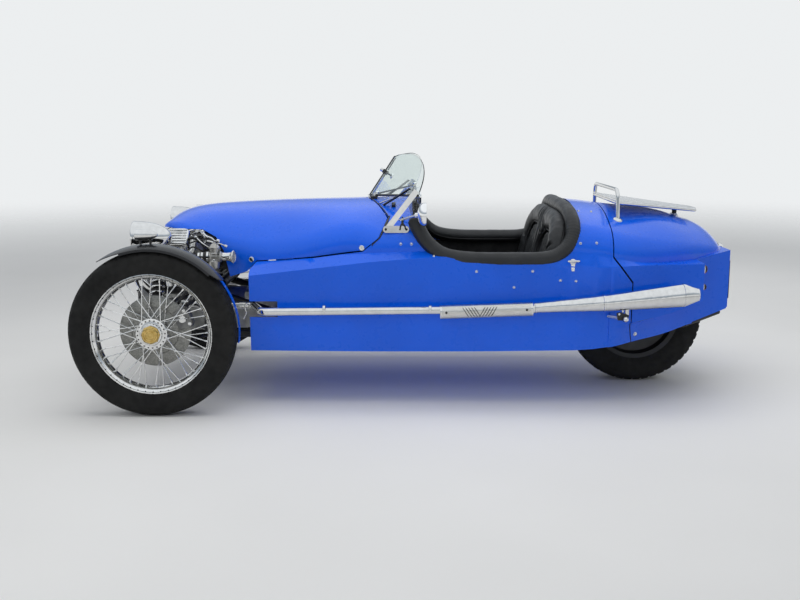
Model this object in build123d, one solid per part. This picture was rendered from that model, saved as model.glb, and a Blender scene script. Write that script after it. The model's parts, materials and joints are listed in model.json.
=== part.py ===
from build123d import *
import math
import os

# An open two-seat three-wheeler: two steered wheels ahead, one driven wheel behind.
# Millimetres. The front points to -X, +Z is up and the ground is z = 0.
# The left side is -Y and the right side is +Y.

# Driving dimensions
OVERALL_LENGTH = 2900.0
FRONT_TYRE_OD = 700.0
FRONT_TRACK = 1300.0
WHEELBASE = 2140.0
REAR_TYRE_OD = 630.0
PANEL = 5.0
SHUT_GAP = 5.0
TOUCH = 0.3

FRONT_AXLE_X = FRONT_TYRE_OD / 2 - OVERALL_LENGTH / 2
TAIL_X = OVERALL_LENGTH / 2
FRONT_R = FRONT_TYRE_OD / 2
REAR_R = REAR_TYRE_OD / 2
HALF_TRACK = FRONT_TRACK / 2


def st(station):
    """X of a station measured back from the front axle."""
    return FRONT_AXLE_X + station


# Front wheel
TYRE_WIDTH = 104.0
RIM_R = 255.0
RIM_SEAT_R = 241.0
HUB_BARREL_R = 29.0
HUB_FLANGE_R = 65.0
STUB_R = 15.0
RUNNING_FIT = 0.05
SPOKES_A_SIDE = 20
SPOKE_R = 2.6
KINGPIN_Y = 570.0
KINGPIN_HALF_H = 90.0
DISC_R = 150.0
DISC_Y = 606.0
DISC_THICK = 8.0

# Rear wheel
REAR_TYRE_WIDTH = 165.0
REAR_RIM_R = 205.0
REAR_HUB_R = 60.0
REAR_AXLE_R = 14.0
SWING_ARM_Y = 118.0
SWING_PIVOT_STATION = 1762.0
SWING_PIVOT_R = 24.0
WHEEL_SLOT_HALF = 146.0

# Body sections, front to rear. Columns: station, crown height, arch half width,
# arch springing height, crease half width, crease height, floor half width,
# floor height, arch corner radius.
BODY_ROWS = [
    (-48, 756, 150, 740, 490, 560, 462, 236, 12),
    (20, 808, 226, 722, 491, 561, 463, 236, 55),
    (120, 834, 290, 690, 493, 562, 465, 236, 80),
    (250, 846, 350, 652, 495, 564, 468, 236, 100),
    (380, 853, 400, 622, 498, 567, 470, 235, 120),
    (640, 862, 430, 642, 500, 597, 476, 234, 127),
    (900, 868, 452, 660, 502, 627, 482, 233, 130),
    (1130, 869, 464, 669, 502, 645, 482, 233, 130),
    (1350, 868, 474, 676, 502, 652, 482, 233, 130),
    (1780, 862, 478, 668, 495, 604, 475, 236, 130),
    (1870, 854, 471, 657, 489, 600, 469, 241, 130),
    (1960, 842, 461, 640, 481, 602, 456, 250, 129),
]
# Tail sections under the dome, with a blister along each side. Columns: station,
# crown height, arch half width, arch springing height, shelf half width, shelf height,
# blister's lower edge half width and height, body side half width and height under it,
# floor half width, floor height, arch corner radius.
TAIL_ROWS = [
    (1920, 847, 466, 649, 485, 600, 471, 346, 470, 330, 464, 246, 129),
    (2010, 837, 453, 626, 475, 605, 463, 354, 445, 338, 432, 256, 130),
    (2100, 829, 424, 615, 463, 608, 454, 370, 400, 354, 386, 268, 128),
    (2190, 819, 386, 611, 450, 608, 444, 390, 354, 374, 340, 279, 122),
    (2270, 801, 344, 611, 438, 608, 433, 415, 313, 399, 300, 296, 111),
    (2352, 774, 292, 612, 425, 608, 421, 446, 276, 430, 264, 315, 94),
]
# Tail dome behind the side blisters. Columns: station, crown height, half width, corner.
DOME_ROWS = [
    (2340, 776.8, 298.8, 97),
    (2430, 741, 236, 74),
    (2492, 688, 172, 44),
    (2522, 640, 110, 12),
]
DOME_BASE_Z = 612.0
DOME_PANEL = 8.5
# Box that closes the tail. Columns: station, top half width, top height, floor half width,
# floor height.
TAIL_BOX_ROWS = [
    (2325, 312, 610, 269, 311.5),
    (2530, 204, 642, 196, 374),
]
BONNET_SIDE_Z = 480.0
BONNET_END_STATION = 1200.0
BLISTER_END_STATION = 2352.0
# Plan of the hole in the tail's floor, as (station, half width)
TAIL_FLOOR_HOLE = [
    (1900, 446), (2010, 414), (2100, 368), (2190, 322), (2270, 282), (2352, 246), (2380, 150), (2492, 140),
]
TAIL_HOLE_TOP_Z = 345.0

# Panel lines
TUB_FRONT_STATION = 380.0
TUB_TAIL_SPLIT = 1935.0
TAIL_SEAM_STATION = 1944.0
TAIL_SEAM_LOW_STATION = 2030.0
TAIL_SEAM_TURN_Z = 640.0
TAIL_SEAM_FOOT_Z = 530.0
TAIL_HINGE_STATION = 2530.0
TAIL_HINGE_Z = 374.0
HINGE_PIN_R = 5.0
HINGE_BARREL_R = 10.0
# Edge of the bonnet seen from the side, as (station, height)
BONNET_SEAM = [
    (-120, 744), (150, 744), (215, 715), (252, 660), (280, 545), (360, 572),
    (404, 622), (660, 642), (868, 670), (934, 723), (985, 824), (1010, 1000), (-120, 1000),
]
BONNET_VEE_STATION = 866.0
BONNET_VEE_SLOPE = 0.322

# Cockpit
COCKPIT_SIDE = [
    (1078, 1000), (1084, 815), (1120, 735), (1200, 655), (1300, 632),
    (1650, 632), (1728, 656), (1774, 740), (1780, 1000),
]
ROLL_R = 30.0
DASH_STATION = 1024.0
SEAT_Z = 400.0
BULKHEAD_STATION = 1780.0
FIREWALL_STATION = 560.0

# Engine, a vee twin across the frame
CRANK_Z = 380.0
ENGINE_STATION = 60.0
VEE_HALF_ANGLE = 45.0
HEAD_START = 282.0
HEAD_FIN_SIZE = 150.0

# Frame tubes
RAIL_Y = 215.0
RAIL_Z = 259.0
TUBE_R = 17.5
REAR_TUBE_R = 12.0
UPPER_RAIL_Z = 460.0
BULK_FRONT = -150.0
BULK_REAR = 150.0
DAMPER_STATION = -45.0
DAMPER_TOP_Z = 608.0
SWING_PIVOT_Z = 330.0

# Exhaust
PIPE_R = 17.5
PIPE_Y = 552.0
PIPE_Z = 420.0
# Pipe from the head forward, down past the frame and back along the side
HEADER_ROUTE = [
    (10, 226, 606), (-146, 238, 600), (-140, 294, 536), (-22, 318, 428), (200, 345, 412), (385, 390, 420),
    (440, 552, 420), (1600, 552, 432),
]
# Megaphone, as (station, radius, height)
MEGAPHONE = [(1596, 22, 438), (1905, 36, 459), (2233, 49, 492), (2290, 27, 494)]
BRACKET_STATION = 1992.0
SHIELD_FRONT = (1198, 419)
SHIELD_REAR = (1592, 433)
SHIELD_R = 30.0
SHIELD_THICK = 3.0

# Mudguards. Angles are about the front axle, 0 pointing to the rear.
GUARD_R = 373.0
GUARD_THICK = 3.0
GUARD_HALF_W = 58.0
GUARD_LIP = 26.0
GUARD_KNEE = 16.0
GUARD_FRONT_DEG = 126.8
GUARD_FRONT_ROOT_DEG = 99.0
GUARD_FRONT_REACH = 174.0
GUARD_REAR_DEG = 36.7
GUARD_REAR_ROOT_DEG = 50.0
GUARD_REAR_REACH = 88.0
SPLASH_DEG = -8.0
SPLASH_DROP = 20.5
GUARD_STAY_R = 6.0
# Feet of the stays on the knuckle and the angles they reach, as (station, degrees)
GUARD_STAYS = [(-20, 108), (20, 54)]
SIDE_LAMP_Z = 758.0

# Steering
STEER_ARM = 120.0
STEER_ARM_Z = 425.0
TRACK_ROD_Z = 450.0
RACK_STATION = 205.0
RACK_Z = 482.0
RACK_BAR_R = 11.0
COLUMN_WAY = Vector(-1, 0, -0.42).normalized()
COLUMN_R = 11.0
STEERING_WHEEL_STATION = 1135.0
STEERING_WHEEL_Y = 210.0
STEERING_WHEEL_Z = 665.0

# Screen and mirrors
PILLAR_FOOT = (886, 0, 868)
PILLAR_HEAD = (1004, 0, 1050)
PANE_CORNER = (1106, 420, 894)
STAY_Y = 428.0
STAY_FOOT = (974, 762)
STAY_HEAD = (1100, 925)
DEFLECTOR = [(1108, 914), (1116, 884), (1112, 850), (1084, 812), (1076, 815), (1062, 862)]
MIRROR_PLATE_Y = 436.0
MIRROR_PLATE_Z = 760.0
MIRROR_PLATE_H = 30.0
MIRROR_Y = 530.0
MIRROR_Z = 832.0
# Mirror head from its back to its glass, as (station, radius)
MIRROR_PROFILE = [(1100, 12), (1106, 30), (1118, 46), (1130, 50), (1138, 50)]

# Headlamps. The profile is (station, radius) from the rim to the tail.
HEADLAMP_Y = 400.0
HEADLAMP_Z = 722.0
HEADLAMP_PROFILE = [(-127, 66), (-118, 72), (-70, 71), (0, 45), (38, 12)]
LAMP_BAR_STATION = -52.0
LAMP_BAR_Z = 655.0

# Luggage rack, rear lamps and plate
RACK_FRONT_STATION = 1995.0
RACK_REAR_STATION = 2400.0
RACK_POST_STATION = 2320.0
RACK_HOOP_Z = 918.0
RACK_FRONT_Z = 862.0
RACK_REAR_Z = 812.0
RACK_FRONT_HALF = 274.0
RACK_REAR_HALF = 54.0
RACK_BAR_SHARES = (-1, -0.67, -0.34, 0, 0.34, 0.67, 1)
LAMP_Y = 398.0
LAMP_HEIGHTS = (582, 503)
LAMP_R = 20.0


def three_centred_arch(half_w, rise, corner):
    """Arcs of a low arch: corner, crown, corner, from right to left."""
    flat = half_w - corner
    drop = (flat**2 - (rise - corner) ** 2) / (2 * (rise - corner))
    crown_r = rise + drop
    reach = crown_r / (crown_r - corner)
    tx, ty = flat * reach, drop * reach - drop
    mid = math.atan2(drop, flat) / 2
    mx, my = flat + corner * math.cos(mid), corner * math.sin(mid)
    return [
        ThreePointArc((half_w, 0), (mx, my), (tx, ty)),
        ThreePointArc((tx, ty), (0, rise), (-tx, ty)),
        ThreePointArc((-tx, ty), (-mx, my), (-half_w, 0)),
    ]


def cross_plane(station):
    """Plane across the car, with its x to the right side and its y up."""
    return Plane(origin=(st(station), 0, 0), x_dir=(0, 1, 0), z_dir=(1, 0, 0))


def body_section(row, inset=0.0):
    station, crown, arch_w, arch_z, crease_w, crease_z, floor_w, floor_z, corner = row
    w2, w1, w0 = arch_w - inset, crease_w - inset, floor_w - inset
    top, base = crown - inset, floor_z + inset
    arcs = three_centred_arch(w2, top - arch_z, max(corner - inset, 4))
    arcs = [arc.moved(Location((0, arch_z))) for arc in arcs]
    lower = Polyline((-w2, arch_z), (-w1, crease_z), (-w0, base), (w0, base), (w1, crease_z), (w2, arch_z))
    face = make_face([*lower.edges(), *[e for arc in arcs for e in arc.edges()]])
    return cross_plane(station) * face


def tail_section_face(row, inset=0.0):
    station, crown, arch_w, arch_z, shelf_w, shelf_z, low_w, low_z, side_w, side_z, floor_w, floor_z, corner = row
    w2, w1 = arch_w - inset, shelf_w - inset
    top = crown - inset
    arcs = three_centred_arch(w2, top - arch_z, max(corner - inset, 4))
    arcs = [arc.moved(Location((0, arch_z))) for arc in arcs]
    half = [(w1, shelf_z - inset / 2), (low_w - inset, low_z + inset), (side_w - inset, side_z + inset),
            (floor_w - inset, floor_z + inset)]
    left = [(-y, z) for y, z in half]
    lower = Polyline((-w2, arch_z), *left, *half[::-1], (w2, arch_z))
    face = make_face([*lower.edges(), *[e for arc in arcs for e in arc.edges()]])
    return cross_plane(station) * face


def box_section(row, inset=0.0):
    station, top_w, top_z, floor_w, floor_z = row
    points = [(top_w - inset, top_z - inset), (floor_w - inset, floor_z + inset)]
    outline = Polyline(*points, *[(-y, z) for y, z in points[::-1]], close=True)
    return cross_plane(station) * make_face(outline)


def dome_section(row, inset=0.0):
    station, crown, half_w, corner = row
    arcs = three_centred_arch(half_w - inset, crown - inset - DOME_BASE_Z, max(corner - inset, 4))
    w, skirt = half_w - inset, -2 * inset
    base = Polyline((-w, 0), (-w, skirt), (w, skirt), (w, 0)) if inset else Line((-w, 0), (w, 0))
    face = make_face([*base.edges(), *[e for arc in arcs for e in arc.edges()]])
    return cross_plane(station) * (Pos(0, DOME_BASE_Z) * face)


def side_prism(points, half_width=900.0):
    """Prism across the car from an outline of (station, height)."""
    outline = Polyline(*[(st(s), z) for s, z in points], close=True)
    face = Plane(origin=(0, 0, 0), x_dir=(1, 0, 0), z_dir=(0, -1, 0)) * make_face(outline)
    return extrude(face, amount=half_width, both=True)


def block(s0, s1, y0, y1, z0, z1):
    """Box from its limits; the first pair are stations."""
    return Pos(st((s0 + s1) / 2), (y0 + y1) / 2, (z0 + z1) / 2) * Box(s1 - s0, y1 - y0, z1 - z0)


def rod(a, b, r):
    """Round bar between two points given as (station, y, z)."""
    start, end = Vector(st(a[0]), a[1], a[2]), Vector(st(b[0]), b[1], b[2])
    way = end - start
    return extrude(Plane(origin=start, z_dir=way) * Circle(r), amount=way.length)


def cyl_y(station, y0, y1, z, r):
    """Cylinder along Y."""
    return rod((station, y0, z), (station, y1, z), r)


def tube_run(points, r, bend):
    """Round tube along straight runs joined by arcs."""
    path = FilletPolyline(*[(st(s), y, z) for s, y, z in points], radius=bend)
    start = path.position_at(0)
    return sweep(Plane(origin=start, z_dir=path.tangent_at(0)) * Circle(r), path=path)


def joined(pieces):
    """One solid, or as few as the pieces allow."""
    return pieces[0].fuse(*pieces[1:]) if len(pieces) > 1 else pieces[0]


def mirrored(piece):
    """The same piece on the other side of the car."""
    return mirror(piece, about=Plane.XZ)


def ring_y(points, station, y, z):
    """Ring about an axle, turned from an outline of (radius, offset along the axle)."""
    face = make_face(Polyline(*points, close=True))
    turned = revolve(Plane.XY * face, axis=Axis.Y)
    return Pos(st(station), y, z) * turned


def body_forms(rows, ruled):
    """The outer form and the hollow inside it."""
    outer = loft([body_section(row) for row in rows], ruled=ruled)
    first = (rows[0][0] + PANEL, *rows[0][1:])
    last = (rows[-1][0] - PANEL, *rows[-1][1:])
    inner = loft([body_section(row, PANEL) for row in [first, *rows[1:-1], last]], ruled=ruled)
    return outer, inner


def bonnet_rows():
    """The same arches with sides that drop straight down, clear of the intakes."""
    return [(s, crown, w, z, w, (z + BONNET_SIDE_Z) / 2, w, BONNET_SIDE_Z, corner)
            for s, crown, w, z, _, _, _, _, corner in BODY_ROWS if s < BONNET_END_STATION]


def tail_forms():
    """Dome, blistered sides and closing box of the tail, and the hollows inside them."""
    outer = [
        loft([tail_section_face(row) for row in TAIL_ROWS]),
        loft([dome_section(row) for row in DOME_ROWS]),
        loft([box_section(row) for row in TAIL_BOX_ROWS], ruled=True),
    ]
    last = (TAIL_ROWS[-1][0] - PANEL, *TAIL_ROWS[-1][1:])
    box_end = (TAIL_BOX_ROWS[-1][0] - PANEL, *TAIL_BOX_ROWS[-1][1:])
    inner = [
        loft([tail_section_face(row, PANEL) for row in [*TAIL_ROWS[:-1], last]]),
        loft([dome_section(row, DOME_PANEL) for row in DOME_ROWS]),
        loft([box_section(row, PANEL) for row in [TAIL_BOX_ROWS[0], box_end]], ruled=True),
    ]
    return outer, inner


def bonnet_region(grow=0.0):
    side = side_prism(BONNET_SEAM)
    vee = BONNET_VEE_STATION + grow
    reach = 600.0
    plan = Polyline((st(-200), -reach), (st(vee + BONNET_VEE_SLOPE * reach), -reach), (st(vee), 0),
                    (st(vee + BONNET_VEE_SLOPE * reach), reach), (st(-200), reach), close=True)
    region = side & extrude(make_face(plan), amount=1200)
    return region


def seam_side(gap):
    """Everything behind the tail seam: swept back over the shoulder, then an arc about the hinge."""
    low = TAIL_SEAM_LOW_STATION + gap
    top = TAIL_SEAM_STATION + gap
    above = side_prism([(top, 1000), (top, TAIL_SEAM_TURN_Z + gap), (low, TAIL_SEAM_FOOT_Z + gap),
                        (low, TAIL_HINGE_Z), (2700, TAIL_HINGE_Z), (2700, 1000)])
    round_part = cyl_y(TAIL_HINGE_STATION, -700, 700, TAIL_HINGE_Z, TAIL_HINGE_STATION - low)
    below = round_part & block(1800, 2700, -700, 700, 0, TAIL_HINGE_Z)
    return above + below


def floor_hole():
    """Opening in the tail's floor, wider ahead, so that it lifts clear of the frame and the wheel."""
    right = [(st(s), y) for s, y in TAIL_FLOOR_HOLE]
    left = [(x, -y) for x, y in right[::-1]]
    return extrude(make_face(Polyline(*right, *left, close=True)), amount=TAIL_HOLE_TOP_Z)


def build_body():
    bonnet_outer, bonnet_inner = body_forms(bonnet_rows(), ruled=False)
    bonnet = (bonnet_outer & bonnet_region()) - bonnet_inner
    tub_rows = [row for row in BODY_ROWS if row[0] >= TUB_FRONT_STATION]
    outer, inner = body_forms([(TUB_FRONT_STATION - 20, *tub_rows[0][1:]), *tub_rows], ruled=True)
    shell = outer - inner
    tail_outer, tail_inner = tail_forms()
    sides = tail_outer[0] - tail_inner[0]
    front_of_tail = block(TUB_FRONT_STATION, 2100, -700, 700, 0, 1000) - seam_side(0)
    bonnet_gap = Pos(0, 0, -SHUT_GAP) * bonnet_region(SHUT_GAP)
    split = block(TUB_FRONT_STATION, TUB_TAIL_SPLIT, -700, 700, 0, 1000)
    behind = block(TUB_TAIL_SPLIT, 2100, -700, 700, 0, 1000)
    tub = joined([shell & split & front_of_tail, sides & behind & front_of_tail])
    tub -= bonnet_gap
    tub -= side_prism(COCKPIT_SIDE)
    tub -= block(370, 500, -560, -300, PIPE_Z - 35, PIPE_Z + 35)
    tub -= block(370, 500, 300, 560, PIPE_Z - 35, PIPE_Z + 35)
    bulkhead = inner & block(BULKHEAD_STATION, BULKHEAD_STATION + PANEL, -700, 700, 0, 1000)
    slab = block(FIREWALL_STATION, FIREWALL_STATION + PANEL, -700, 700, 0, 1000)
    rest = (Pos(0, 0, -TOUCH) * bonnet_inner) & slab & block(500, 700, -120, 120, 700, 1000)
    firewall = (inner & slab) - Pos(0, 0, -SHUT_GAP) * bonnet_region(SHUT_GAP)
    under = (Pos(0, 0, -SHUT_GAP) * bonnet_inner) & slab & block(500, 700, -600, 600, 500, 1000)
    firewall = joined([firewall, under, rest])
    firewall -= block(500, 620, -140, 140, 0, 470)
    tub = joined([tub, bulkhead, firewall])
    tub -= block(BULKHEAD_STATION - 6, 2100, -WHEEL_SLOT_HALF, WHEEL_SLOT_HALF, 0, 372)
    tub -= cyl_y(SWING_PIVOT_STATION, -RAIL_Y, RAIL_Y, SWING_PIVOT_Z, SWING_PIVOT_R + SHUT_GAP)

    tail_form = joined(tail_outer)
    tail = tail_form & seam_side(SHUT_GAP)
    tail -= joined(tail_inner)
    tail -= block(1900, 2492, -WHEEL_SLOT_HALF, WHEEL_SLOT_HALF, 0, 420)
    tail -= floor_hole()
    tail -= cyl_y(TAIL_HINGE_STATION, -92, 92, TAIL_HINGE_Z, HINGE_BARREL_R + SHUT_GAP)
    barrels = [cyl_y(TAIL_HINGE_STATION, side * 94, side * 154, TAIL_HINGE_Z, HINGE_BARREL_R) for side in (-1, 1)]
    tail = joined([tail, *barrels])
    tail -= cyl_y(TAIL_HINGE_STATION, -200, 200, TAIL_HINGE_Z, HINGE_PIN_R + RUNNING_FIT)
    return {
        "bonnet": bonnet,
        "body_tub": tub,
        "tail_section": tail,
        "dash_panel": dash_panel(inner),
        "screen_frame": screen_frame() - outer,
        "luggage_rack": luggage_rack() - tail_form,
    }


# Front wheels and steering


def front_tyre(side):
    half = TYRE_WIDTH / 2
    outline = [
        (RIM_SEAT_R, -31), (RIM_R, -35.5), (RIM_R + 1, -39), (FRONT_R - 55, -half), (FRONT_R - 22, -half + 6),
        (FRONT_R - 3, -24), (FRONT_R, 0), (FRONT_R - 3, 24), (FRONT_R - 22, half - 6),
        (FRONT_R - 55, half), (RIM_R + 1, 39), (RIM_R, 35.5), (RIM_SEAT_R, 31),
    ]
    return ring_y(outline, 0, side * HALF_TRACK, FRONT_R)


def front_wheel(side):
    rim = ring_y([
        (RIM_SEAT_R, -31), (RIM_R, -35.5), (RIM_R, -38), (RIM_SEAT_R - 4, -35), (228, -12),
        (228, 12), (RIM_SEAT_R - 4, 35), (RIM_R, 38), (RIM_R, 35.5), (RIM_SEAT_R, 31),
    ], 0, 0, 0)
    hub = ring_y([
        (STUB_R + RUNNING_FIT, -58), (HUB_BARREL_R, -58), (HUB_BARREL_R, 22), (HUB_FLANGE_R, 26),
        (HUB_FLANGE_R, 34), (40, 40), (38, 62), (STUB_R + RUNNING_FIT, 62),
    ], 0, 0, 0)
    back_flange = ring_y([(STUB_R + RUNNING_FIT, -36), (58, -36), (58, -30), (STUB_R + RUNNING_FIT, -28)],
                         0, 0, 0)
    origin = Vector(st(0), 0, 0)
    spokes = []
    step = 360 / SPOKES_A_SIDE
    for i in range(SPOKES_A_SIDE):
        for y_hub, r_hub, y_rim, shift in ((30, HUB_FLANGE_R - 8, 4, 0.5), (-33, 50, -4, 0)):
            lean = 34 if i % 2 else -34
            a_rim = math.radians(step * (i + shift))
            a_hub = a_rim + math.radians(lean)
            start = Vector(r_hub * math.cos(a_hub), y_hub, r_hub * math.sin(a_hub))
            end = Vector(232 * math.cos(a_rim), y_rim, 232 * math.sin(a_rim))
            way = end - start
            spokes.append(extrude(Plane(origin=origin + start, z_dir=way) * Circle(SPOKE_R), amount=way.length))
    wheel = joined([rim, hub, back_flange, *spokes])
    if side < 0:
        wheel = mirrored(wheel)
    return Pos(0, side * HALF_TRACK, FRONT_R) * wheel


def brake_disc(side):
    y = side * DISC_Y
    ring = cyl_y(0, y - DISC_THICK / 2, y + DISC_THICK / 2, FRONT_R, DISC_R)
    return ring - cyl_y(0, y - 20, y + 20, FRONT_R, HUB_BARREL_R)


def knuckle(side):
    y = side * KINGPIN_Y
    boss = rod((0, y, FRONT_R - KINGPIN_HALF_H), (0, y, FRONT_R + KINGPIN_HALF_H), 20)
    pins = rod((0, y, FRONT_R - KINGPIN_HALF_H - 22), (0, y, FRONT_R + KINGPIN_HALF_H + 22), 8)
    stub = cyl_y(0, y, side * (HALF_TRACK + 61), FRONT_R, STUB_R)
    collar = cyl_y(0, y, side * (HALF_TRACK - 58 - 0.5), FRONT_R, 26)
    arm = rod((0, y, STEER_ARM_Z - 10), (STEER_ARM, y, STEER_ARM_Z), 10)
    eye = rod((STEER_ARM, y, STEER_ARM_Z - 13), (STEER_ARM, y, STEER_ARM_Z + 13), 16)
    return joined([boss, pins, stub, collar, arm, eye])


def arc_band(r0, r1, deg0, deg1, y0, y1):
    """Curved strip about the front axle between two angles, 0 pointing to the rear."""
    a0, a1 = math.radians(deg0), math.radians(deg1)
    mid = (a0 + a1) / 2

    def at(r, a):
        return (r * math.cos(a), r * math.sin(a))

    edges = [
        ThreePointArc(at(r0, a0), at(r0, mid), at(r0, a1)),
        Line(at(r0, a1), at(r1, a1)),
        ThreePointArc(at(r1, a1), at(r1, mid), at(r1, a0)),
        Line(at(r1, a0), at(r0, a0)),
    ]
    face = make_face([e for edge in edges for e in edge.edges()])
    lower, upper = min(y0, y1), max(y0, y1)
    plane = Plane(origin=(st(0), upper, FRONT_R), x_dir=(1, 0, 0), z_dir=(0, -1, 0))
    return extrude(plane * face, amount=upper - lower)


def on_guard(deg, r=GUARD_R):
    """Point above the axle at an angle, as (station, height)."""
    return r * math.cos(math.radians(deg)), FRONT_R + r * math.sin(math.radians(deg))


def guard_tip(deg_root, reach, y):
    """Leaf-shaped end of a mudguard, square to the guard where it starts."""
    a = math.radians(deg_root)
    root = Vector(st(GUARD_R * math.cos(a)), y, FRONT_R + GUARD_R * math.sin(a))
    plane = Plane(origin=root, x_dir=(0, 1, 0), z_dir=(math.cos(a), 0, math.sin(a)))
    return extrude(plane * Ellipse(GUARD_HALF_W + 1, reach), amount=120, both=True)


def guard_section():
    """Crowned strip with turned-down edges, as (radius, offset)."""
    lip, knee, top = GUARD_R - GUARD_LIP, GUARD_R - GUARD_KNEE, GUARD_R
    w, t = GUARD_HALF_W, GUARD_THICK
    pieces = [
        Line((lip, -w), (knee, -w)), ThreePointArc((knee, -w), (top, 0), (knee, w)), Line((knee, w), (lip, w)),
        Line((lip, w), (lip, w - t)), Line((lip, w - t), (knee - 1, w - t)),
        ThreePointArc((knee - 1, w - t), (top - t, 0), (knee - 1, t - w)), Line((knee - 1, t - w), (lip, t - w)),
        Line((lip, t - w), (lip, -w)),
    ]
    return make_face([e for piece in pieces for e in piece.edges()])


def mudguard(side):
    y_in = side * (HALF_TRACK - GUARD_HALF_W)
    y_mid = side * HALF_TRACK
    ring = Pos(st(0), y_mid, FRONT_R) * revolve(Plane.XY * guard_section(), axis=Axis.Y)

    def sector(deg0, deg1):
        far = 2 * GUARD_R
        rim = [on_guard(deg, far) for deg in (deg0, (deg0 + deg1) / 2, deg1)]
        return ring & side_prism([(0, FRONT_R), *rim])

    front_tip = guard_tip(GUARD_FRONT_ROOT_DEG, GUARD_FRONT_REACH, y_mid)
    rear_tip = guard_tip(GUARD_REAR_ROOT_DEG, GUARD_REAR_REACH, y_mid)
    shell = joined([
        sector(GUARD_REAR_ROOT_DEG, GUARD_FRONT_ROOT_DEG),
        sector(GUARD_FRONT_ROOT_DEG - 1, GUARD_FRONT_DEG) & front_tip,
        sector(GUARD_REAR_DEG, GUARD_REAR_ROOT_DEG + 1) & rear_tip,
    ])
    y_stay = side * (KINGPIN_Y + 14)
    stays = []
    for foot, deg in GUARD_STAYS:
        top = on_guard(deg, GUARD_R - 18)
        stays.append(rod((foot, y_stay, FRONT_R), (top[0], y_stay, top[1]), GUARD_STAY_R))
        stays.append(cyl_y(top[0], y_stay, y_in + side * GUARD_THICK, top[1], GUARD_STAY_R))
    return joined([shell, *stays]) - knuckle(side)


def splash_strip(side):
    y_in = side * (HALF_TRACK - GUARD_HALF_W)
    return arc_band(GUARD_R - SPLASH_DROP, GUARD_R - SPLASH_DROP + 3, SPLASH_DEG, GUARD_REAR_DEG + 18,
                    y_in + side * (GUARD_THICK + TOUCH), y_in + side * 34)


def side_lamp(side):
    y, z = side * HALF_TRACK, SIDE_LAMP_Z
    body = rod((-57, y, z), (0, y, z), 22) + rod((0, y, z), (34, y, z), 12)
    foot = block(-45, 0, y - 14, y + 14, FRONT_R + GUARD_R + TOUCH, z)
    return joined([body, foot])


def suspension(side):
    y = side * KINGPIN_Y
    low, high = FRONT_R - KINGPIN_HALF_H - TOUCH, FRONT_R + KINGPIN_HALF_H + TOUCH
    pieces = []
    for z0, z1, z_mid, z_in in ((low - 22, low, low - 11, RAIL_Z), (high, high + 22, high + 11, UPPER_RAIL_Z)):
        boss = rod((0, y, z0), (0, y, z1), 20) - rod((0, y, z0 - 1), (0, y, z1 + 1), 8 + RUNNING_FIT)
        legs = [rod((0, y, z_mid), (s, side * RAIL_Y, z_in), 10) for s in (BULK_FRONT, BULK_REAR)]
        hole = rod((0, y, z0 - 1), (0, y, z1 + 1), 8 + RUNNING_FIT)
        pieces.append(joined([boss, *legs]) - hole)
    foot, head = (DAMPER_STATION, side * 466, 254), (DAMPER_STATION, side * 302, 598)
    pieces.append(rod(foot, head, 11))
    pieces.append(rod((DAMPER_STATION, side * 436, 318), (DAMPER_STATION, side * 325, 549), 22))
    return joined(pieces) - chassis_frame()


def steering_rack():
    housing = cyl_y(RACK_STATION, -200, 200, RACK_Z, 24)
    feet = [block(RACK_STATION - 14, RACK_STATION + 14, y - 12, y + 12, 446, RACK_Z - 16) for y in (-190, 190)]
    bored = joined([housing, *feet]) - cyl_y(RACK_STATION, -300, 300, RACK_Z, RACK_BAR_R + RUNNING_FIT)
    return bored - chassis_frame()


def rack_bar():
    pieces = [cyl_y(RACK_STATION, -262, 262, RACK_Z, RACK_BAR_R)]
    for side in (-1, 1):
        inner = (RACK_STATION, side * 255, RACK_Z)
        outer = (STEER_ARM, side * KINGPIN_Y, TRACK_ROD_Z)
        pieces.append(rod(inner, outer, 8))
        eye_z = STEER_ARM_Z + 13 + TOUCH
        pieces.append(rod((STEER_ARM, side * KINGPIN_Y, eye_z), (*outer[:2], TRACK_ROD_Z + 12), 14))
    return joined(pieces)


# Chassis and engine


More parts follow.
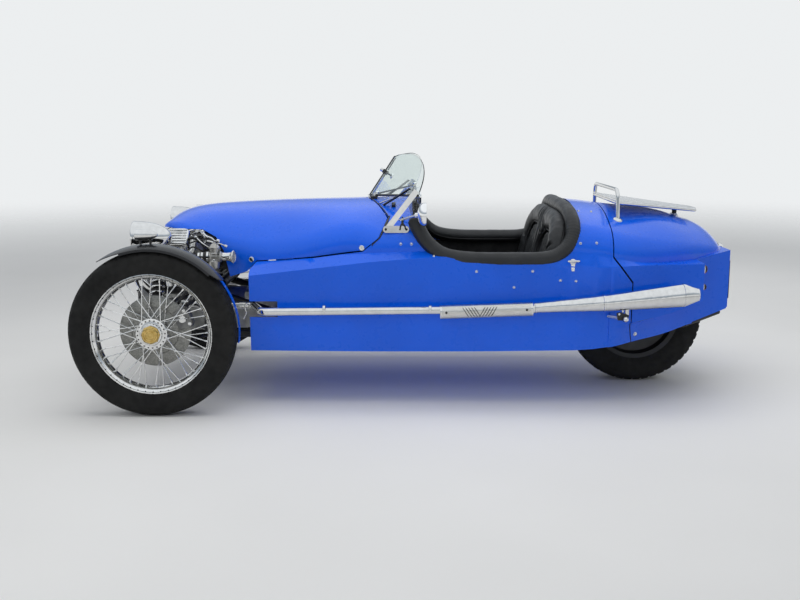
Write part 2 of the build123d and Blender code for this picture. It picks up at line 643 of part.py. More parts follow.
def chassis_frame():
    pieces = []
    for y in (-RAIL_Y, RAIL_Y):
        pieces.append(rod((BULK_FRONT - 20, y, RAIL_Z), (SWING_PIVOT_STATION + 40, y, RAIL_Z), TUBE_R))
        pieces.append(rod((BULK_FRONT, y, UPPER_RAIL_Z), (BULK_REAR, y, UPPER_RAIL_Z), TUBE_R))
        pieces.append(rod((BULK_REAR, y, UPPER_RAIL_Z), (600, y, 310), TUBE_R))
        pieces.append(rod((600, y, 310), (700, y, RAIL_Z), TUBE_R))
        for s in (BULK_FRONT, BULK_REAR):
            pieces.append(rod((s, y, RAIL_Z), (s, y, UPPER_RAIL_Z), TUBE_R))
        top_y = y * 1.37
        pieces.append(rod((DAMPER_STATION, y, UPPER_RAIL_Z), (DAMPER_STATION, top_y, 604), 12))
        pieces.append(block(-64, -28, top_y - 18, top_y + 18, 600, DAMPER_TOP_Z))
        pieces.append(rod((SWING_PIVOT_STATION, y, RAIL_Z), (SWING_PIVOT_STATION, y, SWING_PIVOT_Z + 26), TUBE_R))
        for s in (BULK_FRONT, BULK_REAR, 700, 1150, SWING_PIVOT_STATION):
            pieces.append(Pos(st(s), y, RAIL_Z) * Sphere(TUBE_R + 1))
        side = 1 if y > 0 else -1
        pieces.append(rod((SWING_PIVOT_STATION, y, RAIL_Z), (2330, y, 300), REAR_TUBE_R))
        pieces.append(Pos(st(2330), y, 300) * Sphere(REAR_TUBE_R + 0.5))
        pieces.append(rod((2330, y, 300), (2505, side * 140, 346), REAR_TUBE_R))
        pieces.append(Pos(st(2505), side * 140, 346) * Sphere(REAR_TUBE_R + 0.5))
        pieces.append(rod((2505, side * 76, 346), (TAIL_HINGE_STATION, side * 76, TAIL_HINGE_Z), 9))
    pieces.append(cyl_y(2505, -140, 140, 346, REAR_TUBE_R))
    pieces.append(cyl_y(TAIL_HINGE_STATION, -154, 154, TAIL_HINGE_Z, HINGE_PIN_R))
    for s in (BULK_FRONT, 700, 1150):
        pieces.append(cyl_y(s, -RAIL_Y, RAIL_Y, RAIL_Z, TUBE_R))
    pieces.append(cyl_y(BULK_FRONT, -RAIL_Y, RAIL_Y, UPPER_RAIL_Z, TUBE_R))
    return joined(pieces)


def engine_block():
    """Crankcase, bell housing and gearbox."""
    case = cyl_y(ENGINE_STATION, -75, 75, CRANK_Z, 118)
    sump = block(ENGINE_STATION - 100, ENGINE_STATION + 100, -110, 110, 252, 360)
    nose = rod((-110, 0, CRANK_Z + 20), (ENGINE_STATION, 0, CRANK_Z + 20), 88)
    bell = rod((ENGINE_STATION + 90, 0, 345), (300, 0, 345), 100)
    gearbox = block(300, 620, -85, 85, 262, 430)
    mounts = [cyl_y(s, -RAIL_Y, RAIL_Y, 272, 11) for s in (0, 120)]
    return joined([case, sump, nose, bell, gearbox, *mounts]) - cylinder(-1) - cylinder(1)


def along_cylinder(side, distance):
    """Centre of the cylinder at a distance from the crank."""
    a = math.radians(VEE_HALF_ANGLE)
    return Vector(st(ENGINE_STATION), side * distance * math.sin(a), CRANK_Z + distance * math.cos(a))


def cylinder_slab(side, start, length, size):
    """Rounded square slab across a cylinder, from a distance along it."""
    a = math.radians(VEE_HALF_ANGLE)
    way = Vector(0, side * math.sin(a), math.cos(a))
    plane = Plane(origin=along_cylinder(side, start), x_dir=(1, 0, 0), z_dir=way)
    return extrude(plane * RectangleRounded(size, size, size * 0.28), amount=length)


def head_envelope(side):
    """The block that the head's fins fill."""
    return cylinder_slab(side, HEAD_START - 20, 150, HEAD_FIN_SIZE)


def cylinder(side):
    a = math.radians(VEE_HALF_ANGLE)
    way = Vector(0, side * math.sin(a), math.cos(a))
    barrel = extrude(Plane(origin=along_cylinder(side, 112), z_dir=way) * Circle(52), amount=160)
    pieces = [barrel]
    for i in range(9):
        pieces.append(cylinder_slab(side, 140 + i * 14, 4, 142))
    pieces.append(cylinder_slab(side, HEAD_START - 16, 16, 128))
    for i in range(6):
        pieces.append(cylinder_slab(side, HEAD_START + i * 13, 4, HEAD_FIN_SIZE))
    pieces.append(cylinder_slab(side, HEAD_START, 84, 118))
    pieces.append(cylinder_slab(side, HEAD_START + 84, 46, 108))
    return joined(pieces)


def carburettor(side):
    y, z = side * 418, 640
    steps = [(150, 205, 24), (205, 237, 20), (237, 262, 18), (262, 312, 29)]
    parts = [rod((s0, y, z), (s1, y, z), r) for s0, s1, r in steps]
    parts.append(rod((165, y, z - 40), (165, y, z + 46), 22))
    bend = (164, side * 244, 611)
    stub = [rod((174, y, z), bend, 15), Pos(st(bend[0]), bend[1], bend[2]) * Sphere(15.2),
            rod(bend, (122, side * 236, 610), 15)]
    return joined([*parts, *stub]) - head_envelope(side)


def exhaust(side):
    pipe = tube_run([(s, side * y, z) for s, y, z in HEADER_ROUTE], PIPE_R, 36)
    circles = [Plane(origin=(st(s), side * PIPE_Y, z), z_dir=(1, 0, 0)) * Circle(r) for s, r, z in MEGAPHONE]
    megaphone = loft(circles, ruled=True)
    bracket = rod((BRACKET_STATION, side * PIPE_Y, 440), (BRACKET_STATION, side * PIPE_Y, 384), 10)
    arm = rod((BRACKET_STATION, side * PIPE_Y, 388), (1930, side * 476, 388), 9)
    return joined([pipe, megaphone, bracket, arm]) - head_envelope(side)


def heat_shield(side):
    front = (SHIELD_FRONT[0], side * PIPE_Y, SHIELD_FRONT[1])
    rear = (SHIELD_REAR[0], side * PIPE_Y, SHIELD_REAR[1])
    return rod(front, rear, SHIELD_R) - rod(front, rear, SHIELD_R - SHIELD_THICK)


def swing_arm():
    reach = RAIL_Y - TUBE_R - TOUCH
    pieces = [cyl_y(SWING_PIVOT_STATION, -reach, reach, SWING_PIVOT_Z, SWING_PIVOT_R)]
    for side in (-1, 1):
        arm_y = side * SWING_ARM_Y
        pieces.append(rod((SWING_PIVOT_STATION, arm_y, SWING_PIVOT_Z), (WHEELBASE, arm_y, REAR_R), 20))
    pieces.append(cyl_y(WHEELBASE, -SWING_ARM_Y - 24, SWING_ARM_Y + 24, REAR_R, REAR_AXLE_R))
    return joined(pieces)


def rear_wheel():
    bore = REAR_AXLE_R + RUNNING_FIT
    return ring_y([
        (bore, -70), (REAR_HUB_R, -70), (REAR_HUB_R, -20), (178, -30), (186, -66), (REAR_RIM_R, -72),
        (REAR_RIM_R, -66), (190, -60), (190, 60), (REAR_RIM_R, 66), (REAR_RIM_R, 72), (186, 66), (178, 30),
        (REAR_HUB_R, 20), (REAR_HUB_R, 70), (bore, 70),
    ], WHEELBASE, 0, REAR_R)


def rear_tyre():
    half = REAR_TYRE_WIDTH / 2
    return ring_y([
        (190, -60), (REAR_RIM_R, -66), (REAR_RIM_R + 2, -70), (REAR_R - 50, -half), (REAR_R - 16, -half + 6),
        (REAR_R, -half + 24), (REAR_R, half - 24), (REAR_R - 16, half - 6), (REAR_R - 50, half),
        (REAR_RIM_R + 2, 70), (REAR_RIM_R, 66), (190, 60),
    ], WHEELBASE, 0, REAR_R)


# Cockpit and fittings


def roll_path():
    right = [(1090, 430, 808), (1118, 450, 738), (1204, 465, 655), (1300, 466, 636), (1648, 466, 636),
             (1738, 456, 664), (1782, 405, 760), (1778, 235, 846)]
    left = [(s, -y, z) for s, y, z in right]
    return left + right[::-1]


def cockpit_roll():
    return tube_run(roll_path(), ROLL_R, 38)


def seat_cushion(side):
    body = block(1230, 1620, *sorted((side * 30, side * 428)), RAIL_Z + TUBE_R + TOUCH, SEAT_Z)
    return fillet(body.edges().filter_by(Axis.Y), 40)


def seat_back(side):
    profile = [(1560, SEAT_Z + TOUCH), (1665, SEAT_Z + TOUCH), (1743, 778), (1685, 802)]
    return side_prism(profile) & block(1500, 1790, *sorted((side * 30, side * 395)), 300, 900)


def dash_panel(hollow):
    """Panel under the scuttle, shaped by the hollow of the body."""
    plate = hollow & block(DASH_STATION, DASH_STATION + 8, -600, 600, 590, 900)
    column = Plane(origin=wheel_centre(), z_dir=COLUMN_WAY)
    return plate - extrude(column * Circle(COLUMN_R + RUNNING_FIT), amount=400)


def wheel_centre():
    return Vector(st(STEERING_WHEEL_STATION), STEERING_WHEEL_Y, STEERING_WHEEL_Z)


def pane_plane(side):
    foot = Vector(st(PILLAR_FOOT[0]), 0, PILLAR_FOOT[2] + 6)
    head = Vector(st(PILLAR_HEAD[0]), 0, PILLAR_HEAD[2] + 6)
    corner = Vector(st(PANE_CORNER[0]), side * PANE_CORNER[1], PANE_CORNER[2] + 6)
    along = (corner - foot).normalized()
    normal = along.cross(head - foot).normalized()
    return Plane(origin=foot, x_dir=along, z_dir=normal)


def screen_pane(side):
    """Raked pane, and the small deflector that fills the corner behind its stay."""
    start = 4
    path = [
        Line((start, 4), (start + 68, 208)), Line((start + 68, 208), (190, 216)),
        ThreePointArc((190, 216), (388, 157), (478, 4)), Line((478, 4), (start, 4)),
    ]
    face = make_face([e for piece in path for e in piece.edges()])
    pane = extrude(pane_plane(side) * face, amount=5)
    corner = side_prism(DEFLECTOR)
    y0, y1 = sorted((side * (STAY_Y - 7), side * (STAY_Y - 10)))
    return joined([pane, corner & block(1000, 1200, y0, y1, 700, 1000)])


def screen_frame():
    """Centre pillar, and a flat stay on a round-ended plate each side."""
    pieces = [rod((PILLAR_FOOT[0], 0, PILLAR_FOOT[2] - 4), PILLAR_HEAD, 9)]
    for side in (-1, 1):
        foot = Vector(st(STAY_FOOT[0]), side * STAY_Y, STAY_FOOT[1])
        head = Vector(st(STAY_HEAD[0]), side * PANE_CORNER[1], STAY_HEAD[1])
        stay = extrude(Plane(origin=foot, x_dir=(0, 1, 0), z_dir=head - foot) * Rectangle(4, 25),
                       amount=(head - foot).length)
        middle = (st(1011), side * MIRROR_PLATE_Y, MIRROR_PLATE_Z)
        face = Plane(origin=middle, x_dir=(1, 0, 0), z_dir=(0, -side, 0))
        plate = extrude(face * RectangleRounded(112, MIRROR_PLATE_H, 14.5), amount=26)
        pieces.append(joined([stay, plate]))
    return Compound(pieces)


def door_mirror(side):
    """Domed round mirror on a bent arm from the side plate."""
    y = side * (MIRROR_PLATE_Y - 4)
    foot_z = MIRROR_PLATE_Z + MIRROR_PLATE_H / 2 + TOUCH
    knee = (1039, y, 800)
    pieces = [rod((1039, y, foot_z), knee, 8), Pos(st(1039), y, 800) * Sphere(8)]
    pieces.append(rod(knee, (1112, side * MIRROR_Y, MIRROR_Z), 6))
    circles = [Plane(origin=(st(s), side * MIRROR_Y, MIRROR_Z), z_dir=(1, 0, 0)) * Circle(r)
               for s, r in MIRROR_PROFILE]
    pieces.append(loft(circles, ruled=True))
    return joined(pieces)


def headlamps():
    s, z = LAMP_BAR_STATION, LAMP_BAR_Z
    pieces = [cyl_y(s, -HEADLAMP_Y - 5, HEADLAMP_Y + 5, z, 11)]
    for side in (-1, 1):
        y = side * HEADLAMP_Y
        circles = [Plane(origin=(st(at), y, HEADLAMP_Z), z_dir=(1, 0, 0)) * Circle(r)
                   for at, r in HEADLAMP_PROFILE]
        pieces.append(loft(circles, ruled=True))
        pieces.append(rod((s, y, z - 5), (s, y, z + 25), 12))
        pieces.append(rod((s, side * 294, z), (s + 6, side * 294, DAMPER_TOP_Z + TOUCH), 8))
    return joined(pieces)


def luggage_rack():
    """Bent hoop, a fan of bars running back to a point, and a post under the rear end."""
    front, rear, post = RACK_FRONT_STATION, RACK_REAR_STATION, RACK_POST_STATION
    post_z = RACK_FRONT_Z + (RACK_REAR_Z - RACK_FRONT_Z) * (post - front) / (rear - front)
    hoop = [(front, -290, 740), (front, -266, RACK_HOOP_Z), (front, 266, RACK_HOOP_Z), (front, 290, 740)]
    pieces = [tube_run(hoop, 9, 42)]
    for share in RACK_BAR_SHARES:
        ends = (front, share * RACK_FRONT_HALF, RACK_FRONT_Z), (rear, share * RACK_REAR_HALF, RACK_REAR_Z)
        pieces.append(rod(*ends, 8 if abs(share) == 1 else 6))
    pieces.append(cyl_y(front, -RACK_FRONT_HALF - 2, RACK_FRONT_HALF + 2, RACK_FRONT_Z, 8))
    pieces.append(cyl_y(rear, -RACK_REAR_HALF - 4, RACK_REAR_HALF + 4, RACK_REAR_Z, 8))
    pieces.append(rod((post, 0, 740), (post, 0, post_z), 8))
    pieces.append(cyl_y(post, -92, 92, post_z, 6))
    return joined(pieces)


def rear_lamp(side, z):
    s, y = BLISTER_END_STATION, side * LAMP_Y
    return rod((s + TOUCH, y, z), (s + 18, y, z), LAMP_R)


def plate_lamp():
    """Lamp over the number plate, the rearmost piece."""
    return block(TAIL_HINGE_STATION + TOUCH, TAIL_X - FRONT_AXLE_X, -45, 45, 600, 628)


def number_plate():
    return block(TAIL_HINGE_STATION + TOUCH, TAIL_HINGE_STATION + 4, -190, 190, 420, 590)


def steering_wheel():
    centre = wheel_centre()
    plane = Plane(origin=centre, x_dir=(0, 1, 0), z_dir=COLUMN_WAY)
    rim = plane * Torus(160, 13)
    pieces = [rim, extrude(plane * Circle(38), amount=18)]
    for deg in (90, 210, 330):
        a = math.radians(deg)
        spoke_plane = Plane(origin=centre, z_dir=plane.x_dir * math.cos(a) + plane.y_dir * math.sin(a))
        pieces.append(extrude(spoke_plane * Rectangle(9, 9), amount=160))
    pieces.append(extrude(plane * Circle(COLUMN_R), amount=540))
    return joined(pieces)


# Pieces that are let into another: the first is cut to the shape of the second
SEATED = [
    ("body_tub", "chassis_frame"), ("body_tub", "cockpit_roll"), ("dash_panel", "body_tub"),
    ("exhaust_left", "body_tub"), ("exhaust_right", "body_tub"),
    ("headlamps", "chassis_frame"), ("engine_block", "chassis_frame"),
    ("screen_pane_left", "screen_frame"), ("screen_pane_right", "screen_frame"),
]


def write_all():
    os.makedirs("parts", exist_ok=True)
    nodes = build_body()
    for name, side in (("left", -1), ("right", 1)):
        nodes[f"front_tyre_{name}"] = front_tyre(side)
        nodes[f"front_wheel_{name}"] = front_wheel(side)
        nodes[f"brake_disc_{name}"] = brake_disc(side)
        nodes[f"knuckle_{name}"] = knuckle(side)
        nodes[f"mudguard_{name}"] = mudguard(side)
        nodes[f"splash_strip_{name}"] = splash_strip(side)
        nodes[f"side_lamp_{name}"] = side_lamp(side)
        nodes[f"suspension_{name}"] = suspension(side)
        nodes[f"cylinder_{name}"] = cylinder(side)
        nodes[f"exhaust_{name}"] = exhaust(side)
        nodes[f"screen_pane_{name}"] = screen_pane(side)

    def both(make):
        return Compound([make(-1), make(1)])

    nodes["steering_rack"] = steering_rack()
    nodes["rack_bar"] = rack_bar()
    nodes["chassis_frame"] = chassis_frame()
    nodes["engine_block"] = engine_block()
    nodes["carburettors"] = both(carburettor)
    nodes["heat_shields"] = both(heat_shield)
    nodes["swing_arm"] = swing_arm()
    nodes["rear_wheel"] = rear_wheel()
    nodes["rear_tyre"] = rear_tyre()
    nodes["cockpit_roll"] = cockpit_roll()
    nodes["seat_cushions"] = both(seat_cushion)
    nodes["seat_backs"] = both(seat_back)
    nodes["door_mirrors"] = both(door_mirror)
    nodes["headlamps"] = headlamps()
    rear_lamps = [rear_lamp(side, z) for side in (-1, 1) for z in LAMP_HEIGHTS]
    nodes["rear_lamps"] = Compound([*rear_lamps, plate_lamp()])
    nodes["number_plate"] = number_plate()
    nodes["steering_wheel"] = steering_wheel()
    for held, holder in SEATED:
        nodes[held] = nodes[held] - nodes[holder]
    for name, shape in nodes.items():
        export_step(shape, f"parts/{name}.step")


write_all()
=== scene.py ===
"""An open two-seat three-wheeler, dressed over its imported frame.

Metres, front towards -X, +Z up. Most places are given in millimetres as a
station behind the front axle, a distance to the right, and a height.
"""

import json
import math

import bmesh
import bpy
from mathutils import Matrix, Vector, noise
from mathutils.bvhtree import BVHTree


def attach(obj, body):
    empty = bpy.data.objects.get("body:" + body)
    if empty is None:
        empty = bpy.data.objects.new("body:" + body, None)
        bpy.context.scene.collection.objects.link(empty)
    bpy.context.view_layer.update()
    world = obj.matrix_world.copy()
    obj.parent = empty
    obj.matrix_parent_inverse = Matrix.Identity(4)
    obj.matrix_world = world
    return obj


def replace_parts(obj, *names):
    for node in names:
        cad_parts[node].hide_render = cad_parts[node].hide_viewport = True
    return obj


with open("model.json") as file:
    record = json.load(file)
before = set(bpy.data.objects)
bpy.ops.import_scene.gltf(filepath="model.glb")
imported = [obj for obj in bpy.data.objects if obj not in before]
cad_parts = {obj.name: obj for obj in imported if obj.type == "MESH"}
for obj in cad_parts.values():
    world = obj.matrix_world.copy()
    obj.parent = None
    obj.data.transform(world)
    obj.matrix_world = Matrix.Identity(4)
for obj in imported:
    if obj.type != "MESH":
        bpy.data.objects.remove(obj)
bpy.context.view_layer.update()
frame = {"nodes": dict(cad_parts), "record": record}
scene = bpy.context.scene
scene.view_settings.view_transform = "Standard"

# Metres
AXLE_X = -1.1
# Millimetres
FRONT_R = 350
REAR_R = 315
HALF_TRACK = 650
WHEELBASE = 2140
DISC_Y = 606
EXHAUST_Y = 552
CARB_Y = 418
CARB_Z = 640
LAMP_Y = 400
MIRROR_Y = 432
RACK_FRONT = 1995
RACK_REAR = 2400
RACK_FRONT_HALF = 274
RACK_REAR_HALF = 54
RACK_FRONT_Z = 862
RACK_FALL = (812 - RACK_FRONT_Z) / (2398 - RACK_FRONT)
SIDES = (("left", -1), ("right", 1))
BODY_OF = {"left": "knuckle_l", "right": "knuckle_r"}
WHEEL_OF = {"left": "front_wheel_l", "right": "front_wheel_r"}
CAMERA_PLACE = Vector((-0.0717, -4.8769, 1.2156))
CAMERA_TILT = math.radians(90 - 9.758)
FOCAL_PIXELS = 1035.0


def at(station, y, z):
    """A point from millimetres, its station measured behind the front axle."""
    return Vector((AXLE_X + station / 1000, y / 1000, z / 1000))


# Materials


def new_material(name):
    """A new node material and its shader."""
    material = bpy.data.materials.new(name)
    material.use_nodes = True
    tree = material.node_tree
    return material, tree, tree.nodes["Principled BSDF"]


def noise_field(tree, scale, detail=3.0, stretch=(1, 1, 1)):
    """Noise in the object's own metres."""
    coords = tree.nodes.new("ShaderNodeTexCoord")
    mapping = tree.nodes.new("ShaderNodeMapping")
    mapping.inputs["Scale"].default_value = stretch
    field = tree.nodes.new("ShaderNodeTexNoise")
    field.inputs["Scale"].default_value = scale
    field.inputs["Detail"].default_value = detail
    tree.links.new(coords.outputs["Object"], mapping.inputs["Vector"])
    tree.links.new(mapping.outputs["Vector"], field.inputs["Vector"])
    return field.outputs["Fac"]


def cell_field(tree, scale, stretch=(1, 1, 1)):
    """Distance to cell edges, for leather and cast grain."""
    coords = tree.nodes.new("ShaderNodeTexCoord")
    mapping = tree.nodes.new("ShaderNodeMapping")
    mapping.inputs["Scale"].default_value = stretch
    cells = tree.nodes.new("ShaderNodeTexVoronoi")
    cells.feature = "DISTANCE_TO_EDGE"
    cells.inputs["Scale"].default_value = scale
    tree.links.new(coords.outputs["Object"], mapping.inputs["Vector"])
    tree.links.new(mapping.outputs["Vector"], cells.inputs["Vector"])
    return cells.outputs["Distance"]


def vary(tree, field, low, high, socket, start=0.35, end=0.65):
    """Drives a socket between two values by a field."""
    ramp = tree.nodes.new("ShaderNodeMapRange")
    ramp.inputs["From Min"].default_value = start
    ramp.inputs["From Max"].default_value = end
    ramp.inputs["To Min"].default_value = low
    ramp.inputs["To Max"].default_value = high
    tree.links.new(field, ramp.inputs["Value"])
    tree.links.new(ramp.outputs["Result"], socket)


def tint(tree, field, dark, light, socket, start=0.35, end=0.65):
    """Blends two colours by a field into a socket."""
    ramp = tree.nodes.new("ShaderNodeValToRGB")
    ramp.color_ramp.elements[0].position = start
    ramp.color_ramp.elements[0].color = (*dark, 1)
    ramp.color_ramp.elements[1].position = end
    ramp.color_ramp.elements[1].color = (*light, 1)
    tree.links.new(field, ramp.inputs["Fac"])
    tree.links.new(ramp.outputs["Color"], socket)


def bump(tree, shader, field, distance, strength=1.0, onto=None):
    """Raises the surface by a field, over another bump where one is given."""
    node = tree.nodes.new("ShaderNodeBump")
    node.inputs["Strength"].default_value = strength
    node.inputs["Distance"].default_value = distance
    tree.links.new(field, node.inputs["Height"])
    if onto is not None:
        tree.links.new(onto, node.inputs["Normal"])
    tree.links.new(node.outputs["Normal"], shader.inputs["Normal"])
    return node.outputs["Normal"]


def paint(name, dark, light, coat_bump=0.00006):
    """Gloss paint with a trace of orange peel and faint settling of colour."""
    material, tree, shader = new_material(name)
    tint(tree, noise_field(tree, 2.2), dark, light, shader.inputs["Base Color"])
    vary(tree, noise_field(tree, 38.0), 0.26, 0.36, shader.inputs["Roughness"])
    shader.inputs["Specular IOR Level"].default_value = 0.2
    shader.inputs["Coat Weight"].default_value = 0.7
    shader.inputs["Coat Roughness"].default_value = 0.04
    shader.inputs["Coat IOR"].default_value = 1.38
    bump(tree, shader, noise_field(tree, 90.0, 1.0), coat_bump, 0.2)
    return material


def metal(name, dark, light, rough, grain=60.0, stretch=(1, 1, 1), depth=0.00006):
    """Bare or plated metal with faint cloudy wear."""
    material, tree, shader = new_material(name)
    shader.inputs["Metallic"].default_value = 1.0
    field = noise_field(tree, grain, 4.0, stretch)
    tint(tree, field, dark, light, shader.inputs["Base Color"])
    vary(tree, noise_field(tree, grain * 0.4, 3.0, stretch), rough[0], rough[1], shader.inputs["Roughness"])
    bump(tree, shader, field, depth, 0.5)
    return material


def cast_alloy(name, dark, light, rough):
    """Sand-cast aluminium: fine pits and darker hollows."""
    material, tree, shader = new_material(name)
    shader.inputs["Metallic"].default_value = 0.85
    tint(tree, noise_field(tree, 24.0, 5.0), dark, light, shader.inputs["Base Color"])
    vary(tree, noise_field(tree, 90.0), rough[0], rough[1], shader.inputs["Roughness"])
    bump(tree, shader, noise_field(tree, 900.0, 3.0), 0.0003, 0.5)
    return material


def matt(name, dark, light, rough, grain=300.0, depth=0.0002, wide=12.0, gloss=0.5):
    """Rubber, plastic and satin paint."""
    material, tree, shader = new_material(name)
    shader.inputs["Specular IOR Level"].default_value = gloss
    tint(tree, noise_field(tree, wide), dark, light, shader.inputs["Base Color"])
    vary(tree, noise_field(tree, wide * 3), rough[0], rough[1], shader.inputs["Roughness"])
    bump(tree, shader, noise_field(tree, grain, 3.0), depth, 0.6)
    return material


def leather_hide(name, dark, light):
    """Black hide: pebbled grain with soft creases and worn high spots."""
    material, tree, shader = new_material(name)
    tint(tree, noise_field(tree, 9.0, 5.0), dark, light, shader.inputs["Base Color"])
    vary(tree, noise_field(tree, 30.0, 4.0), 0.36, 0.52, shader.inputs["Roughness"])
    shader.inputs["Specular IOR Level"].default_value = 0.5
    creases = bump(tree, shader, noise_field(tree, 26.0, 4.0, (1, 1, 2.5)), 0.0016, 0.35)
    bump(tree, shader, cell_field(tree, 420.0), 0.0004, 0.6, creases)
    return material


def clear_glass(name, colour, rough=0.01):
    """Thin clear sheet: mostly seen through, glossy at a slant."""
    material, tree, shader = new_material(name)
    tint(tree, noise_field(tree, 3.0), colour, tuple(min(c * 1.03, 1) for c in colour),
         shader.inputs["Base Color"])
    vary(tree, noise_field(tree, 40.0), rough, rough + 0.02, shader.inputs["Roughness"])
    shader.inputs["Transmission Weight"].default_value = 1.0
    shader.inputs["IOR"].default_value = 1.45
    bump(tree, shader, noise_field(tree, 6.0, 1.0), 0.0002, 0.05)
    return material


MATERIALS = {"body_paint": paint("blue_gloss", (0.0, 0.105, 0.74), (0.0, 0.12, 0.84)),
             "guard_paint": paint("black_gloss", (0.01, 0.011, 0.013), (0.016, 0.017, 0.02)),
             "frame_paint": matt("frame_black", (0.012, 0.012, 0.013), (0.02, 0.02, 0.022), (0.35, 0.5)),
             "chrome": metal("chrome_plate", (0.68, 0.68, 0.67), (0.76, 0.76, 0.75), (0.04, 0.09), 45.0),
             "brushed_steel": metal("brushed_stainless", (0.56, 0.55, 0.52), (0.74, 0.73, 0.7),
                                    (0.22, 0.34), 90.0, (0.3, 6, 6), 0.0001),
             "engine_alloy": cast_alloy("cast_aluminium", (0.46, 0.46, 0.45), (0.66, 0.66, 0.64),
                                        (0.34, 0.52)),
             "carburettor_alloy": cast_alloy("zinc_casting", (0.36, 0.35, 0.33), (0.54, 0.53, 0.5),
                                             (0.3, 0.46)),
             "disc_iron": metal("ground_iron", (0.2, 0.2, 0.19), (0.3, 0.3, 0.28), (0.28, 0.42), 160.0,
                                (1, 1, 1), 0.00015),
             "tyre": matt("tyre_rubber", (0.007, 0.007, 0.007), (0.013, 0.013, 0.0125), (0.62, 0.8), 420.0,
                          0.0004, gloss=0.25),
             "leather": leather_hide("black_hide", (0.006, 0.007, 0.008), (0.014, 0.015, 0.017)),
             "glass": clear_glass("screen_glass", (0.9, 0.95, 0.93)),
             "lamp_red": paint("red_lens", (0.36, 0.004, 0.004), (0.48, 0.008, 0.006)),
             "plate_blank": matt("plate_white", (0.62, 0.62, 0.58), (0.7, 0.7, 0.66), (0.3, 0.42)),
             "mirror_chrome": metal("mirror_plate", (0.86, 0.86, 0.86), (0.92, 0.92, 0.92), (0.02, 0.05),
                                    30.0),}
BRASS = metal("polished_brass", (0.5, 0.34, 0.1), (0.68, 0.49, 0.18), (0.14, 0.26), 70.0)
POLISHED = metal("polished_alloy", (0.7, 0.7, 0.69), (0.82, 0.82, 0.81), (0.1, 0.2), 120.0)
BLACK_PLASTIC = matt("black_plastic", (0.01, 0.01, 0.01), (0.018, 0.018, 0.018), (0.3, 0.45))
TRIM = matt("black_trim", (0.008, 0.008, 0.009), (0.016, 0.016, 0.017), (0.6, 0.8), 700.0, 0.0005)
LENS = clear_glass("lamp_lens", (0.96, 0.97, 0.97), 0.02)
# Deep black: the own black of dial faces and small screws, and painted shade in holes, slots, the exhaust
# outlet and the spoke holes.
DARK = matt("black_and_painted_shade", (0.004, 0.004, 0.004), (0.008, 0.008, 0.008), (0.6, 0.8))
CARPET = matt("black_carpet", (0.006, 0.006, 0.007), (0.014, 0.014, 0.015), (0.85, 0.95), 900.0, 0.0014)
SMOKED = clear_glass("smoked_sheet", (0.42, 0.44, 0.46), 0.06)
RED_LENS = clear_glass("red_lamp_lens", (0.62, 0.012, 0.01), 0.03)
GREY_CAST = cast_alloy("grey_casting", (0.16, 0.16, 0.16), (0.26, 0.26, 0.25), (0.4, 0.6))
MESH_SHADE = matt("mesh_shade", (0.1, 0.1, 0.09), (0.16, 0.16, 0.14), (0.4, 0.6))
HOSE = matt("hose_rubber", (0.014, 0.014, 0.015), (0.024, 0.024, 0.025), (0.4, 0.6), 500.0)


# Mesh building


def axes_of(axis):
    """Unit axis with two directions square to it."""
    way = Vector(axis).normalized()
    if abs(way.y) > 0.99:
        side = Vector((1, 0, 0))
    else:
        side = Vector((0, 1, 0)).cross(way).normalized()
    return way, side, way.cross(side)


def smooth_line(points, steps, closed=False):
    """Points along a curve through the given points."""
    points = [Vector(p) for p in points]
    count = len(points)
    line = []
    for i in range(count if closed else count - 1):
        if closed:
            p0, p1, p2, p3 = (points[(i + k) % count] for k in (-1, 0, 1, 2))
        else:
            p0, p1 = points[max(i - 1, 0)], points[i]
            p2, p3 = points[i + 1], points[min(i + 2, count - 1)]
        for k in range(steps):
            t = k / steps
            line.append(0.5 * (2 * p1 + (p2 - p0) * t + (2 * p0 - 5 * p1 + 4 * p2 - p3) * t**2
                               + (3 * p1 - p0 - 3 * p2 + p3) * t**3))
    if not closed:
        line.append(points[-1])
    return line


